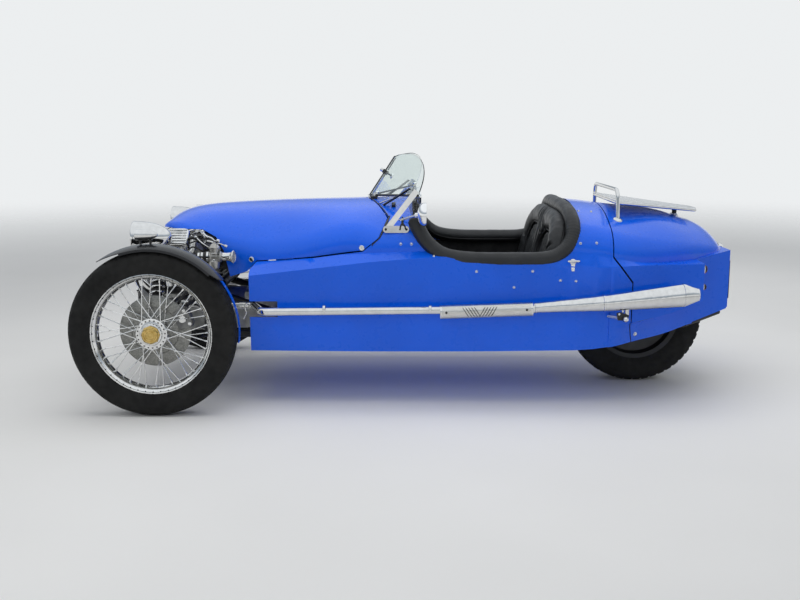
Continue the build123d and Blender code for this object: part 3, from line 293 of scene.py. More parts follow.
class Shape:
    """Vertices and faces gathered for one piece."""

    def __init__(self):
        self.verts = []
        self.faces = []

    def add(self, verts, faces):
        base = len(self.verts)
        self.verts.extend(verts)
        self.faces.extend(tuple(base + i for i in face) for face in faces)

    def grid(self, rows, wrap_rows=False, wrap_columns=False):
        """Quads over rows of points of equal length."""
        count, width = len(rows), len(rows[0])
        faces = []
        for i in range(count if wrap_rows else count - 1):
            for j in range(width if wrap_columns else width - 1):
                below, beside = (i + 1) % count * width, (j + 1) % width
                faces.append((i * width + j, i * width + beside, below + beside, below + j))
        self.add([p for row in rows for p in row], faces)

    def lathe(self, profile, centre, axis=(0, 1, 0), segments=64, closed=False, relief=None):
        """Turns an outline of (radius, offset along the axis), both in metres."""
        way, side, up = axes_of(axis)
        centre = Vector(centre)
        rows = []
        for i in range(segments):
            angle = 2 * math.pi * i / segments
            out = side * math.cos(angle) + up * math.sin(angle)
            row = []
            for j, (r, offset) in enumerate(profile):
                extra = relief(i, j, r, offset) if relief else 0.0
                row.append(centre + out * (r + extra) + way * offset)
            rows.append(row)
        self.grid(rows, wrap_rows=True, wrap_columns=closed)

    def tube(self, points, radius, sides=12, closed=False):
        """Round tube along points; radius may be one number or one for each point."""
        points = [Vector(p) for p in points]
        count = len(points)
        radii = radius if isinstance(radius, (list, tuple)) else [radius] * count
        normal = None
        rows = []
        for i in range(count):
            if closed:
                way = points[(i + 1) % count] - points[i - 1]
            else:
                way = points[min(i + 1, count - 1)] - points[max(i - 1, 0)]
            way.normalize()
            normal = axes_of(way)[1] if normal is None else (normal - way * normal.dot(way)).normalized()
            across = way.cross(normal)
            row = []
            for k in range(sides):
                angle = 2 * math.pi * k / sides
                row.append(points[i] + (normal * math.cos(angle) + across * math.sin(angle)) * radii[i])
            rows.append(row)
        self.grid(rows, wrap_rows=closed, wrap_columns=True)
        if not closed:
            last = len(self.verts) - sides
            first = last - sides * (count - 1)
            self.faces.append(tuple(range(first, first + sides))[::-1])
            self.faces.append(tuple(range(last, last + sides)))

    def rod(self, start, end, radius, sides=16):
        self.tube([start, end], radius, sides)

    def slab(self, outline, origin, across, up, thickness):
        """Flat plate from an outline of (across, up) in metres, thickness along across x up."""
        across, up = Vector(across).normalized(), Vector(up).normalized()
        through = across.cross(up).normalized() * thickness
        front = [Vector(origin) + across * a + up * b for a, b in outline]
        back = [p + through for p in front]
        count = len(front)
        faces = [tuple(range(count))[::-1], tuple(range(count, 2 * count))]
        faces += [(i, (i + 1) % count, count + (i + 1) % count, count + i) for i in range(count)]
        self.add(front + back, faces)

    def box(self, low, high):
        """Square block between two corners."""
        outline = [(low[0], low[1]), (high[0], low[1]), (high[0], high[1]), (low[0], high[1])]
        self.slab(outline, (0, 0, low[2]), (1, 0, 0), (0, 1, 0), high[2] - low[2])

    def dome(self, centre, axis, radius, height, sides=16):
        """Rounded head of a stud or rivet standing on a surface."""
        profile = [(radius, -0.0005), (radius, 0.0), (radius * 0.92, height * 0.45),
                   (radius * 0.6, height * 0.85), (0.0001, height)]
        self.lathe(profile, centre, axis, sides)

    def bolt(self, centre, axis, across_flats, height):
        """Hexagon head with a domed top."""
        r = across_flats / math.sqrt(3)
        profile = [(r * 1.25, -0.0005), (r * 1.25, height * 0.2), (r, height * 0.2), (r, height * 0.9),
                   (r * 0.8, height), (0.0001, height)]
        self.lathe(profile, centre, axis, 6)

    def build(self, name, body="chassis", slot="chrome", material=None, bevel=0.0, angle=35.0):
        """Makes the object, shades it smooth up to an angle, and lets it ride on its body."""
        mesh = bpy.data.meshes.new(name)
        mesh.from_pydata(self.verts, [], self.faces)
        work = bmesh.new()
        work.from_mesh(mesh)
        bmesh.ops.remove_doubles(work, verts=work.verts, dist=1e-5)
        bmesh.ops.recalc_face_normals(work, faces=work.faces)
        work.to_mesh(mesh)
        work.free()
        mesh.shade_smooth()
        mesh.set_sharp_from_angle(angle=math.radians(angle))
        obj = bpy.data.objects.new(name, mesh)
        scene.collection.objects.link(obj)
        mesh.materials.append(material or MATERIALS[slot])
        if bevel:
            edge = obj.modifiers.new("soft_edges", "BEVEL")
            edge.width = bevel
            edge.segments = 2
            edge.limit_method = "ANGLE"
            edge.angle_limit = math.radians(40)
        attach(obj, body)
        return obj


# Materials of the nodes that stay


def shading_group():
    """Joins split edges and shades smooth below 32 degrees."""
    group = bpy.data.node_groups.new("smooth_joins", "GeometryNodeTree")
    group.interface.new_socket("Geometry", in_out="INPUT", socket_type="NodeSocketGeometry")
    group.interface.new_socket("Geometry", in_out="OUTPUT", socket_type="NodeSocketGeometry")
    make, link = group.nodes.new, group.links.new
    start, end = make("NodeGroupInput"), make("NodeGroupOutput")
    merge = make("GeometryNodeMergeByDistance")
    merge.inputs["Distance"].default_value = 2e-6
    faces, edges = make("GeometryNodeSetShadeSmooth"), make("GeometryNodeSetShadeSmooth")
    edges.domain = "EDGE"
    angle, compare = make("GeometryNodeInputMeshEdgeAngle"), make("FunctionNodeCompare")
    compare.operation = "LESS_EQUAL"
    compare.inputs["B"].default_value = math.radians(32)
    link(start.outputs[0], merge.inputs["Geometry"])
    link(merge.outputs["Geometry"], faces.inputs["Geometry"])
    link(faces.outputs["Geometry"], edges.inputs["Geometry"])
    link(angle.outputs["Unsigned Angle"], compare.inputs["A"])
    link(compare.outputs["Result"], edges.inputs["Shade Smooth"])
    link(edges.outputs["Geometry"], end.inputs[0])
    return group


def dress_nodes():
    """Gives each CAD node the finish of its slot, and one smooth shading."""
    slot_of = {row["node"]: row["material_slot"] for row in frame["record"]["subparts"]}
    group = shading_group()
    for name, node in frame["nodes"].items():
        mesh = node.data
        if "custom_normal" in mesh.attributes:
            mesh.attributes.remove(mesh.attributes["custom_normal"])
        mesh.materials.clear()
        mesh.materials.append(MATERIALS[slot_of[name]])
        node.modifiers.new("smooth_joins", "NODES").node_group = group


dress_nodes()


def tree_of(*names):
    """Search tree over the frame's own meshes."""
    verts, faces = [], []
    for name in names:
        mesh = frame["nodes"][name].data
        base = len(verts)
        verts.extend(v.co.copy() for v in mesh.vertices)
        faces.extend([base + i for i in face.vertices] for face in mesh.polygons)
    return BVHTree.FromPolygons(verts, faces)


TUB = tree_of("body_tub")
BONNET = tree_of("bonnet")
TAIL = tree_of("tail_section")


def sight(px, py):
    """Direction of sight through a point of the 800 by 600 view."""
    way = Vector(((px - 400) / FOCAL_PIXELS, (300 - py) / FOCAL_PIXELS, -1))
    return (Matrix.Rotation(CAMERA_TILT, 3, "X") @ way).normalized()


def seen_on(tree, px, py):
    """Spot and outward direction on a surface at a point of the view."""
    way = sight(px, py)
    spot, normal, _, _ = tree.ray_cast(CAMERA_PLACE, way)
    return spot, (-normal if normal.dot(way) > 0 else normal)


def seen_on_plane(px, py, origin, normal):
    """Spot on a plane at a point of the view."""
    way = sight(px, py)
    return CAMERA_PLACE + way * ((origin - CAMERA_PLACE).dot(normal) / way.dot(normal))


def crown(tree, station, y, above=1.3):
    """Spot and direction on a surface straight below a point."""
    spot, normal, _, _ = tree.ray_cast(Vector((AXLE_X + station / 1000, y / 1000, above)),
                                       Vector((0, 0, -1)))
    return (spot, normal if normal.z > 0 else -normal) if spot else (None, None)


def flank(tree, station, z, side):
    """Spot and direction on a surface seen square from one side."""
    start = Vector((AXLE_X + station / 1000, side * 1.5, z / 1000))
    spot, normal, _, _ = tree.ray_cast(start, Vector((0, -side, 0)))
    return (spot, normal if normal.y * side > 0 else -normal) if spot else (None, None)


def mirrored(point):
    """The same point or direction on the car's other side."""
    return Vector((point.x, -point.y, point.z))


def seen_pairs(tree, points):
    """Spot and outward direction at each point of the view, each with its mirror image."""
    for px, py in points:
        spot, normal = seen_on(tree, px, py)
        yield spot, normal
        yield mirrored(spot), mirrored(normal)


def rounded_square(k, count, power):
    """Point k of count round a square of half width 1 with rounded corners."""
    a = 2 * math.pi * k / count
    u, w = math.cos(a), math.sin(a)
    fit = (abs(u) ** power + abs(w) ** power) ** (-1 / power)
    return u * fit, w * fit


# Wheels and tyres


def tyre_profile(points, steps):
    """Closed outline of (radius, offset) smoothed through given points."""
    line = smooth_line([(r / 1000, y / 1000, 0) for r, y in points], steps)
    return [(p.x, p.y) for p in line]


def front_tyre(name, side):
    """Road tyre with three zigzag grooves, shoulder cuts and fine rings on its wall."""
    shape = Shape()
    half = [(246, 33), (250, 38.5), (259, 43), (285, 49.5), (306, 52), (322, 50.5), (332, 47.5), (340, 41),
            (345, 33), (348, 22), (349.6, 11), (350, 0)]
    outline = half + [(r, -y) for r, y in half[-2::-1]]
    profile = tyre_profile(outline, 5)
    segments = 432

    def tread(i, j, r, offset):
        y = abs(offset) * 1000
        if y < 36:
            sway = 1.6 * (1 if (i // 3) % 2 else -1)
            for groove in (0, 14, 27):
                if abs(offset * 1000 - math.copysign(groove, offset) - sway) < 1.9:
                    return -0.0042
        if 33 < y < 47 and i % 9 < 2:
            return -0.0035
        if r < 0.33 and abs((r * 1000) % 9 - 4.5) < 0.8:
            return 0.0005
        return 0.0

    shape.lathe(profile, at(0, side * HALF_TRACK, FRONT_R), (0, 1, 0), segments, relief=tread)
    obj = shape.build(f"tyre_front_{name}", WHEEL_OF[name], "tyre", angle=28)
    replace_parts(obj, f"front_tyre_{name}")


def wire_wheel(name, side):
    """Rim, laced spokes with their nipples, hub with its flange, and the brass nut."""
    centre = at(0, side * HALF_TRACK, FRONT_R)
    way = Vector((0, side, 0))
    rim = Shape()
    lip = [(0.241, -0.0312), (0.248, -0.0345), (0.2515, -0.0362), (0.2532, -0.0388), (0.2522, -0.0412),
           (0.2498, -0.0418), (0.2475, -0.0402), (0.2462, -0.037), (0.244, -0.0345), (0.2415, -0.0325),
           (0.2375, -0.03), (0.2335, -0.023), (0.2305, -0.015), (0.2285, -0.008)]
    profile = lip + [(0.2262, 0.0)] + [(r, -o) for r, o in lip[::-1]]
    rim.lathe(profile, centre, way, 160, closed=True)
    spokes, nipples = Shape(), Shape()
    for i in range(20):
        for y_hub, r_hub, y_rim, shift in ((30, 57, 5, 0.5), (-33, 50, -5, 0.0)):
            lean = 34 if i % 2 else -34
            a_rim = math.radians(18 * (i + shift))
            a_hub = a_rim + math.radians(lean)
            hub = centre + Vector((r_hub * math.cos(a_hub), side * y_hub, r_hub * math.sin(a_hub))) / 1000
            end = centre + Vector((230 * math.cos(a_rim), side * y_rim, 230 * math.sin(a_rim))) / 1000
            along = (end - hub).normalized()
            spokes.rod(hub, end, 0.0021, 8)
            elbow = hub + Vector((0, -side * 0.006 if y_hub > 0 else side * 0.006, 0))
            spokes.rod(elbow, hub + along * 0.002, 0.0024, 8)
            nipples.tube([end - along * 0.016, end - along * 0.015, end - along * 0.004,
                          end + along * 0.001], [0.0024, 0.0036, 0.0036, 0.0052], 8)
    rim_obj = rim.build(f"rim_{name}", WHEEL_OF[name])
    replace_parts(rim_obj, f"front_wheel_{name}")
    spokes.build(f"spokes_{name}", WHEEL_OF[name])
    nipples.build(f"nipples_{name}", WHEEL_OF[name])

    hub = Shape()
    hub.lathe([(0.016, -0.058), (0.029, -0.058), (0.029, -0.037), (0.058, -0.036), (0.059, -0.033),
               (0.058, -0.03), (0.031, -0.028), (0.029, -0.02), (0.029, 0.016), (0.034, 0.022),
               (0.062, 0.0255), (0.0652, 0.028), (0.0655, 0.033), (0.063, 0.0352), (0.05, 0.0362),
               (0.047, 0.0375), (0.0455, 0.04), (0.044, 0.045), (0.0415, 0.0465), (0.04, 0.0465),
               (0.0395, 0.044), (0.016, 0.044)], centre, way, 96, closed=True)
    hub.build(f"hub_{name}", WHEEL_OF[name], material=POLISHED)
    # Black discs at the flange's spoke holes: painted shade where the spoke heads sit.
    holes = Shape()
    for i in range(20):
        a = math.radians(18 * i + 4)
        spot = centre + Vector((57 * math.cos(a), side * 35.2, 57 * math.sin(a))) / 1000
        holes.lathe([(0.0001, 0.0006), (0.003, 0.0006), (0.0034, 0.001), (0.0036, 0.0)], spot, way, 10)
    holes.build(f"spoke_hole_shade_{name}", WHEEL_OF[name], material=DARK)
    cap = Shape()
    cap.lathe([(0.0385, 0.04), (0.0395, 0.046), (0.0385, 0.05), (0.036, 0.052)], centre, way, 8)
    cap.lathe([(0.036, 0.052), (0.033, 0.0545), (0.0325, 0.06), (0.03, 0.0618), (0.0255, 0.0622),
               (0.0245, 0.0605), (0.018, 0.06), (0.017, 0.0612), (0.008, 0.0622), (0.0001, 0.0624)],
              centre, way, 64)
    cap.build(f"hub_nut_{name}", WHEEL_OF[name], material=BRASS)
    boss = Shape()
    boss.lathe([(0.045, 0.04), (0.043, 0.042), (0.0405, 0.0425), (0.04, 0.04)], centre, way, 64)
    boss.build(f"nut_seat_{name}", WHEEL_OF[name], material=BRASS)


def brake(name, side):
    """Plain disc on a thin bell."""
    centre = at(0, side * DISC_Y, FRONT_R)
    disc = Shape()
    disc.lathe([(0.03, -0.004), (0.075, -0.004), (0.078, -0.002), (0.098, -0.002), (0.1, -0.004),
                (0.148, -0.004), (0.15, -0.003), (0.15, 0.003), (0.148, 0.004), (0.1, 0.004),
                (0.098, 0.002), (0.078, 0.002), (0.075, 0.004), (0.03, 0.004)], centre, (0, 1, 0), 96,
               closed=True)
    obj = disc.build(f"disc_{name}", WHEEL_OF[name], "disc_iron")
    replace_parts(obj, f"brake_disc_{name}")


for tag, sign in SIDES:
    front_tyre(tag, sign)
    wire_wheel(tag, sign)
    brake(tag, sign)


def rear_tyre():
    """Wide tyre with a blocky tread."""
    shape = Shape()
    half = [(190, 60), (198, 66), (208, 71), (235, 79), (262, 82.5), (284, 82), (298, 79), (306, 73),
            (311, 64), (313.5, 52), (314.6, 36), (315, 18), (315, 0)]
    profile = tyre_profile(half + [(r, -y) for r, y in half[-2::-1]], 5)

    def tread(i, j, r, offset):
        y = abs(offset) * 1000
        if any(abs(y - groove) < 3.2 for groove in (12, 38)):
            return -0.006
        if 42 < y < 76 and (i + (2 if offset > 0 else 0)) % 8 < 2:
            return -0.004
        if 14 < y < 36 and (i + int(y / 6)) % 12 < 1:
            return -0.003
        return 0.0

    shape.lathe(profile, at(WHEELBASE, 0, REAR_R), (0, 1, 0), 384, relief=tread)
    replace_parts(shape.build("tyre_rear", "rear_wheel", "tyre", angle=28), "rear_tyre")


rear_tyre()


# Cockpit


ROLL_RIGHT = [(1088, 430, 812), (1104, 446, 770), (1140, 458, 712), (1200, 467, 662), (1280, 470, 640),
              (1400, 472, 634), (1560, 472, 634), (1650, 471, 637), (1702, 467, 652), (1744, 459, 684),
              (1768, 444, 726), (1776, 410, 774), (1774, 345, 812), (1770, 250, 832), (1766, 130, 838),]


def cockpit_roll():
    """Stuffed leather roll round the cockpit, gathered a little where it bends, with its seam inside."""
    route = [(s, -y, z) for s, y, z in ROLL_RIGHT] + [(1765, 0, 839)] + ROLL_RIGHT[::-1]
    line = smooth_line([at(*p) for p in route], 14)
    count = len(line)
    radii = []
    for i, p in enumerate(line):
        pucker = noise.noise(p * 16) * 0.0012 + noise.noise(p * 55) * 0.0005
        bend = math.exp(-((abs(p.y) - 0.435) / 0.03) ** 2) * (p.x > 0.6)
        folds = 0.0013 * bend * math.sin(i * 2.1)
        taper = min(1.0, 0.55 + i / 14, 0.55 + (count - 1 - i) / 14)
        radii.append((0.0318 + pucker + folds) * taper)
    shape = Shape()
    shape.tube(line, radii, 40)
    obj = shape.build("coaming_roll", slot="leather", angle=60)
    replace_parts(obj, "cockpit_roll")
    middle = Vector((0.3, 0, 0.62))
    piping = Shape()
    piping.tube([p + (middle - p).normalized() * 0.03 + Vector((0, 0, -0.012)) for p in line[10:-10:2]],
                0.0032, 8)
    piping.build("coaming_piping", slot="leather")


SEAT_TOP = [(0, 822), (120, 822), (220, 820), (300, 810), (360, 788), (400, 762), (430, 724), (446, 684),
            (454, 630)]
INSERT = {"y": 205.0, "z": 556.0, "half_y": 166.0, "half_z": 168.0, "corner": 105.0}


def across_table(table, x):
    """Value between the rows of a table of pairs."""
    for (x0, v0), (x1, v1) in zip(table, table[1:]):
        if x <= x1:
            t = (x - x0) / (x1 - x0)
            return v0 + (v1 - v0) * t
    return table[-1][1]


def insert_distance(y, z):
    """Millimetres from the fluted insert's edge, negative inside it."""
    a = abs(y - INSERT["y"]) - INSERT["half_y"] + INSERT["corner"]
    b = abs(z - INSERT["z"]) - INSERT["half_z"] + INSERT["corner"]
    if z < INSERT["z"]:
        return abs(y - INSERT["y"]) - INSERT["half_y"]
    return math.hypot(max(a, 0), max(b, 0)) + min(max(a, b), 0) - INSERT["corner"]


def segment_distance(y, z, a, b):
    """Millimetres from a straight seam."""
    ay, az, by, bz = *a, *b
    t = ((y - ay) * (by - ay) + (z - az) * (bz - az)) / ((by - ay) ** 2 + (bz - az) ** 2)
    t = min(max(t, 0), 1)
    return math.hypot(y - ay - (by - ay) * t, z - az - (bz - az) * t)


SEAT_STATION = 1650
SEAT_FOOT = 402
SEAT_RAKE = 0.255
SEAT_WRAP = 8
SEAT_INNER = 4
SEAT_OUTER = 450
SEAT_SEAMS = [((392, 640), (436, 690)), ((52, 700), (34, 822)), ((92, 720), (70, 822))]


def seat_back_rise(y, z, top):
    """How far the leather stands in front of the seat's board, in millimetres."""
    d = insert_distance(y, z)
    if d < -5:
        fan = 1 + 0.3 * (z - 400) / 400
        flute = abs(math.sin(math.pi * (y - INSERT["y"]) / (24 * fan)))
        depth = min((-5 - d) / 12, 1)
        return 12 + 3 * depth + 10 * depth * flute**0.55
    edge = max(min(top - z, 456 - y, y + 4), 0.0)
    share = min(max(d + 5, 0) / (max(d + 5, 0) + edge + 0.01), 1)
    puff = (4 * share * (1 - share)) ** 0.45
    rise = 9 + 40 * puff
    for a, b in SEAT_SEAMS:
        rise -= 15 * math.exp(-((segment_distance(y, z, a, b) / 4.5) ** 2))
    return max(rise, 2)


def seat_board(y, z):
    """Station of the seat's board, which leans back and wraps forward a little at the side."""
    wrap = SEAT_WRAP * max((y - 250) / 190, 0) ** 1.5
    return SEAT_STATION + (z - SEAT_FOOT) * SEAT_RAKE - wrap


def seat_back(name, side):
    """Bucket back: fluted insert, fat bolsters over and beside it, and its seams."""
    columns, lines = 150, 130
    front, rear = [], []
    for i in range(lines + 1):
        v = i / lines
        row, back = [], []
        for j in range(columns + 1):
            y = SEAT_INNER + (SEAT_OUTER - SEAT_INNER) * j / columns
            top = across_table(SEAT_TOP, y)
            z = SEAT_FOOT + (top - SEAT_FOOT) * v
            station = seat_board(y, z)
            rise = seat_back_rise(y, z, top)
            broad = noise.noise(Vector((y * 0.02, z * 0.02, side)))
            fine = noise.noise(Vector((y * 0.07, z * 0.07, side)))
            rise += 1.6 * broad + 0.7 * fine
            edge = min(v, 1 - v, j / columns, 1 - j / columns)
            rise *= min(edge / 0.012, 1) ** 0.5
            row.append(at(station - rise, side * y, z + rise * 0.25))
            back.append(at(station + 12 * min(edge / 0.02, 1), side * y, z - 4 * (v > 0.99)))
        front.append(row)
        rear.append(back)
    shape = Shape()
    shape.grid(front)
    shape.grid(rear)
    obj = shape.build(f"squab_{name}", slot="leather", angle=70)
    bead = Shape()
    path = []
    outline = [(39, 405 + 10 * k) for k in range(20)]
    corner = INSERT["corner"]
    for k in range(41):
        a = math.pi - math.pi * k / 40
        shift = math.copysign(INSERT["half_y"] - corner, math.cos(a)) * (abs(math.cos(a)) > 0.01)
        outline.append((INSERT["y"] + shift + corner * math.cos(a),
                        INSERT["z"] + INSERT["half_z"] - corner + corner * math.sin(a)))
    outline += [(371, 595 - 10 * k) for k in range(20)]
    for y, z in outline:
        rise = seat_back_rise(y, z, across_table(SEAT_TOP, y)) + 1
        path.append(at(seat_board(y, z) - rise, side * y, z + rise * 0.25))
    bead.tube(path, 0.0032, 8)
    bead.build(f"squab_piping_{name}", slot="leather")
    return obj


def inflate(obj, cap):
    """Blows a closed pad up a little as cloth, holding each point near where it began."""
    bpy.context.view_layer.objects.active = obj
    remesh = obj.modifiers.new("remesh", "REMESH")
    remesh.mode = "VOXEL"
    remesh.voxel_size = 0.0055
    bpy.ops.object.modifier_apply(modifier="remesh")
    start = [v.co.copy() for v in obj.data.vertices]
    cloth = obj.modifiers.new("cloth", "CLOTH")
    settings = cloth.settings
    settings.use_pressure = True
    settings.uniform_pressure_force = 4.0
    settings.effector_weights.gravity = 0
    settings.quality = 4
    cloth.collision_settings.use_collision = False
    for step in range(1, 21):
        scene.frame_set(step)
    bpy.ops.object.modifier_apply(modifier="cloth")
    scene.frame_set(1)
    for v, first in zip(obj.data.vertices, start):
        move = v.co - first
        if move.length > cap:
            v.co = first + move.normalized() * cap


def seat_cushion(name, side):
    """Cushion: cloth blown up from a rounded pad, then fluted between its piped edges."""
    low, high = (1250, 46, 286), (1606, 412, 384)
    shape = Shape()
    rows = []
    for t, rise in ((0.0, 0.0), (0.0, 0.04), (0.55, 0.0), (1.0, 0.35), (1.0, 0.65), (0.55, 1.0),
                    (0.0, 0.96), (0.0, 1.0)):
        row = []
        for k in range(64):
            u, w = rounded_square(k, 64, 6)
            reach = (0.7 + 0.3 * t) if rise not in (0.0, 1.0) or t else 0.001
            u, w = u * reach, w * reach
            row.append(at((low[0] + high[0]) / 2 + u * (high[0] - low[0]) / 2,
                          side * ((low[1] + high[1]) / 2 + w * (high[1] - low[1]) / 2),
                          low[2] + rise * (high[2] - low[2])))
        rows.append(row)
    shape.grid(rows, wrap_columns=True)
    obj = shape.build(f"cushion_{name}", slot="leather", angle=70)
    inflate(obj, 0.014)
    for v in obj.data.vertices:
        station, y = (v.co.x - AXLE_X) * 1000, abs(v.co.y) * 1000
        inside = min(station - 1290, 1580 - station, y - 86, 372 - y)
        if inside > 0 and v.co.z > 0.345:
            flute = abs(math.sin(math.pi * (y - 229) / 26))
            v.co.z += (-0.01 + 0.009 * flute**0.55) * min(inside / 10, 1)
    obj.data.shade_smooth()
    piping = Shape()
    edge = []
    for k in range(72):
        u, w = rounded_square(k, 72, 6)
        edge.append(at(1428 + u * 176, side * (229 + w * 180), 366))
    piping.tube(edge, 0.0034, 8, closed=True)
    piping.build(f"cushion_piping_{name}", slot="leather")
    return obj


def interior():
    """Black panels inside the tub, carpet on the floor, and a boarded bulkhead behind the seats."""
    stations = [572 + 12 * k for k in range(101)]
    for name, side in SIDES:
        lining = Shape()
        rows = []
        for s in stations:
            row = []
            limit = 612 if s > 1040 else 588
            for k in range(25):
                z = 282 + (limit - 282) * k / 24
                start = Vector((AXLE_X + s / 1000, side * 0.3, z / 1000))
                spot, _, _, _ = TUB.ray_cast(start, Vector((0, side, 0)))
                y = spot.y - side * 0.004 if spot and abs(spot.y) < 0.52 else side * 0.488
                row.append(Vector((start.x, y, start.z)))
            rows.append(row)
        lining.grid(rows)
        lining.build(f"side_lining_{name}", slot="leather", material=TRIM, angle=60)
    floor = Shape()
    floor.box(at(572, -470, 279), at(1774, 470, 285))
    floor.build("floor_carpet", slot="leather", material=CARPET)
    rear = Shape()
    rows = []
    for k in range(41):
        y = -440 + 22 * k
        spot, _, _, _ = TUB.ray_cast(at(1768, y, 600), Vector((0, 0, 1)))
        height = spot.z * 1000 - 8 if spot else 300 + 530 * max(1 - (y / 470) ** 4, 0)
        rows.append([at(1776, y, 288), at(1776, y, 0.5 * (288 + height)), at(1776, y, height)])
    rear.grid(rows)
    rear.build("bulkhead_trim", slot="leather", material=TRIM, angle=60)
    tunnel = Shape()
    tunnel.slab([(-0.028, 0), (0.028, 0), (0.028, 0.06), (0.018, 0.07), (-0.018, 0.07), (-0.028, 0.06)],
                at(700, 0, 285), (0, 1, 0), (0, 0, 1), 0.86)
    tunnel.build("centre_tunnel", slot="leather", material=CARPET)


def steering_wheel():
    """Leather rim with its stitching, three drilled spokes, and a plain cap."""
    centre = at(1135, 210, 665)
    way = Vector((-1, 0, -0.42)).normalized()
    across = Vector((0, 1, 0))
    up = way.cross(across)
    up = up if up.z > 0 else -up

    def outward(angle):
        return across * math.cos(angle) + up * math.sin(angle)

    rim = Shape()
    ring = [centre + outward(2 * math.pi * k / 120) * 0.16 for k in range(120)]
    rim.tube(ring, [0.0128 + 0.0006 * (k % 20 == 0) for k in range(120)], 20, closed=True)
    obj = rim.build("steering_rim", "steering", "leather")
    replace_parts(obj, "steering_wheel")
    stitches = Shape()
    for k in range(120):
        out = outward(2 * math.pi * k / 120)
        spot = centre + out * 0.1475
        stitches.rod(spot - way * 0.003, spot + way * 0.003 + out * 0.001, 0.0008, 6)
    stitches.build("steering_stitches", "steering", "leather", material=BLACK_PLASTIC)
    spokes = Shape()
    for deg in (0, 120, 240):
        out = outward(math.radians(deg - 90))
        beside = way.cross(out)
        outline = [(0.02, -0.013), (0.15, -0.009), (0.15, 0.009), (0.02, 0.013)]
        spokes.slab(outline, centre - way * 0.0015, out, beside, 0.003)
    spokes.lathe([(0.0001, 0.004), (0.034, 0.004), (0.038, 0.0), (0.038, -0.004), (0.032, -0.006),
                  (0.0001, -0.006)], centre, way, 48)
    spokes.build("steering_spokes", "steering", "brushed_steel", material=POLISHED, bevel=0.0006)
    # The drilled holes are black discs on both faces of the spokes: painted shade, not openings.
    holes = Shape()
    for deg in (0, 120, 240):
        out = outward(math.radians(deg - 90))
        for r in (0.055, 0.08, 0.103, 0.124):
            for face in (-1, 1):
                holes.lathe([(0.0001, 0), (0.0055, 0), (0.0058, 0.0002)],
                            centre + out * r + way * 0.0018 * face, way * face, 14)
    holes.build("steering_holes", "steering", "leather", material=DARK)
    cap = Shape()
    cap.lathe([(0.024, 0.006), (0.024, 0.01), (0.018, 0.015), (0.0001, 0.017)], centre, -way, 40)
    cap.build("steering_cap", "steering", "leather", material=BLACK_PLASTIC)
    column = Shape()
    column.rod(centre, centre + way * 0.54, 0.011, 20)
    column.lathe([(0.011, 0.0), (0.024, 0.02), (0.024, 0.09), (0.015, 0.11)], centre, way, 28)
    column.build("steering_column", "steering", "frame_paint")


def dial(face, rim, marks, centre, radius):
    """Round gauge with plain ticks and a needle, facing the rear."""
    back = Vector((1, 0, 0))
    rim.lathe([(radius, 0.0), (radius + 0.004, 0.004), (radius + 0.003, 0.01), (radius, 0.011),
               (radius - 0.002, 0.008)], centre, back, 48)
    face.lathe([(0.0001, 0.004), (radius, 0.004)], centre, back, 48)
    for k in range(21):
        a = math.radians(225 - 13.5 * k)
        out = Vector((0, math.cos(a), math.sin(a)))
        length = 0.16 if k % 4 == 0 else 0.09
        marks.rod(centre + out * radius * 0.92 + back * 0.0045,
                  centre + out * radius * (0.92 - length) + back * 0.0045, 0.0006, 5)
    a = math.radians(205)
    out = Vector((0, math.cos(a), math.sin(a)))
    marks.tube([centre - out * radius * 0.18 + back * 0.006, centre + out * radius * 0.78 + back * 0.006],
               [0.0012, 0.0004], 6)
    marks.lathe([(0.0045, 0.004), (0.0045, 0.007), (0.0001, 0.008)], centre, back, 16)


def dash():
    """Gauges and a row of knobs on the dash."""
    face, rim, marks, knobs = Shape(), Shape(), Shape(), Shape()
    for y, z, radius in ((210, 752, 0.042), (118, 752, 0.042), (20, 762, 0.026), (-48, 762, 0.026),
                         (-116, 762, 0.026)):
        dial(face, rim, marks, at(1032.5, y, z), radius)
    for y in (-60, -30, 0, 30, 60):
        knobs.lathe([(0.004, 0), (0.004, 0.01), (0.008, 0.011), (0.009, 0.018), (0.006, 0.022),
                     (0.0001, 0.023)], at(1032, y, 706), (1, 0, 0), 20)
    face.build("dial_faces", slot="leather", material=DARK)
    rim.build("dial_rims")
    marks.build("dial_marks", slot="plate_blank")
    knobs.build("dash_knobs", slot="leather", material=BLACK_PLASTIC)


cockpit_roll()
squabs = [seat_back(tag, sign) for tag, sign in SIDES]
cushions = [seat_cushion(tag, sign) for tag, sign in SIDES]
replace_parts(squabs[0], "seat_backs")
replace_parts(cushions[0], "seat_cushions")
interior()
steering_wheel()
dash()


# Lamps


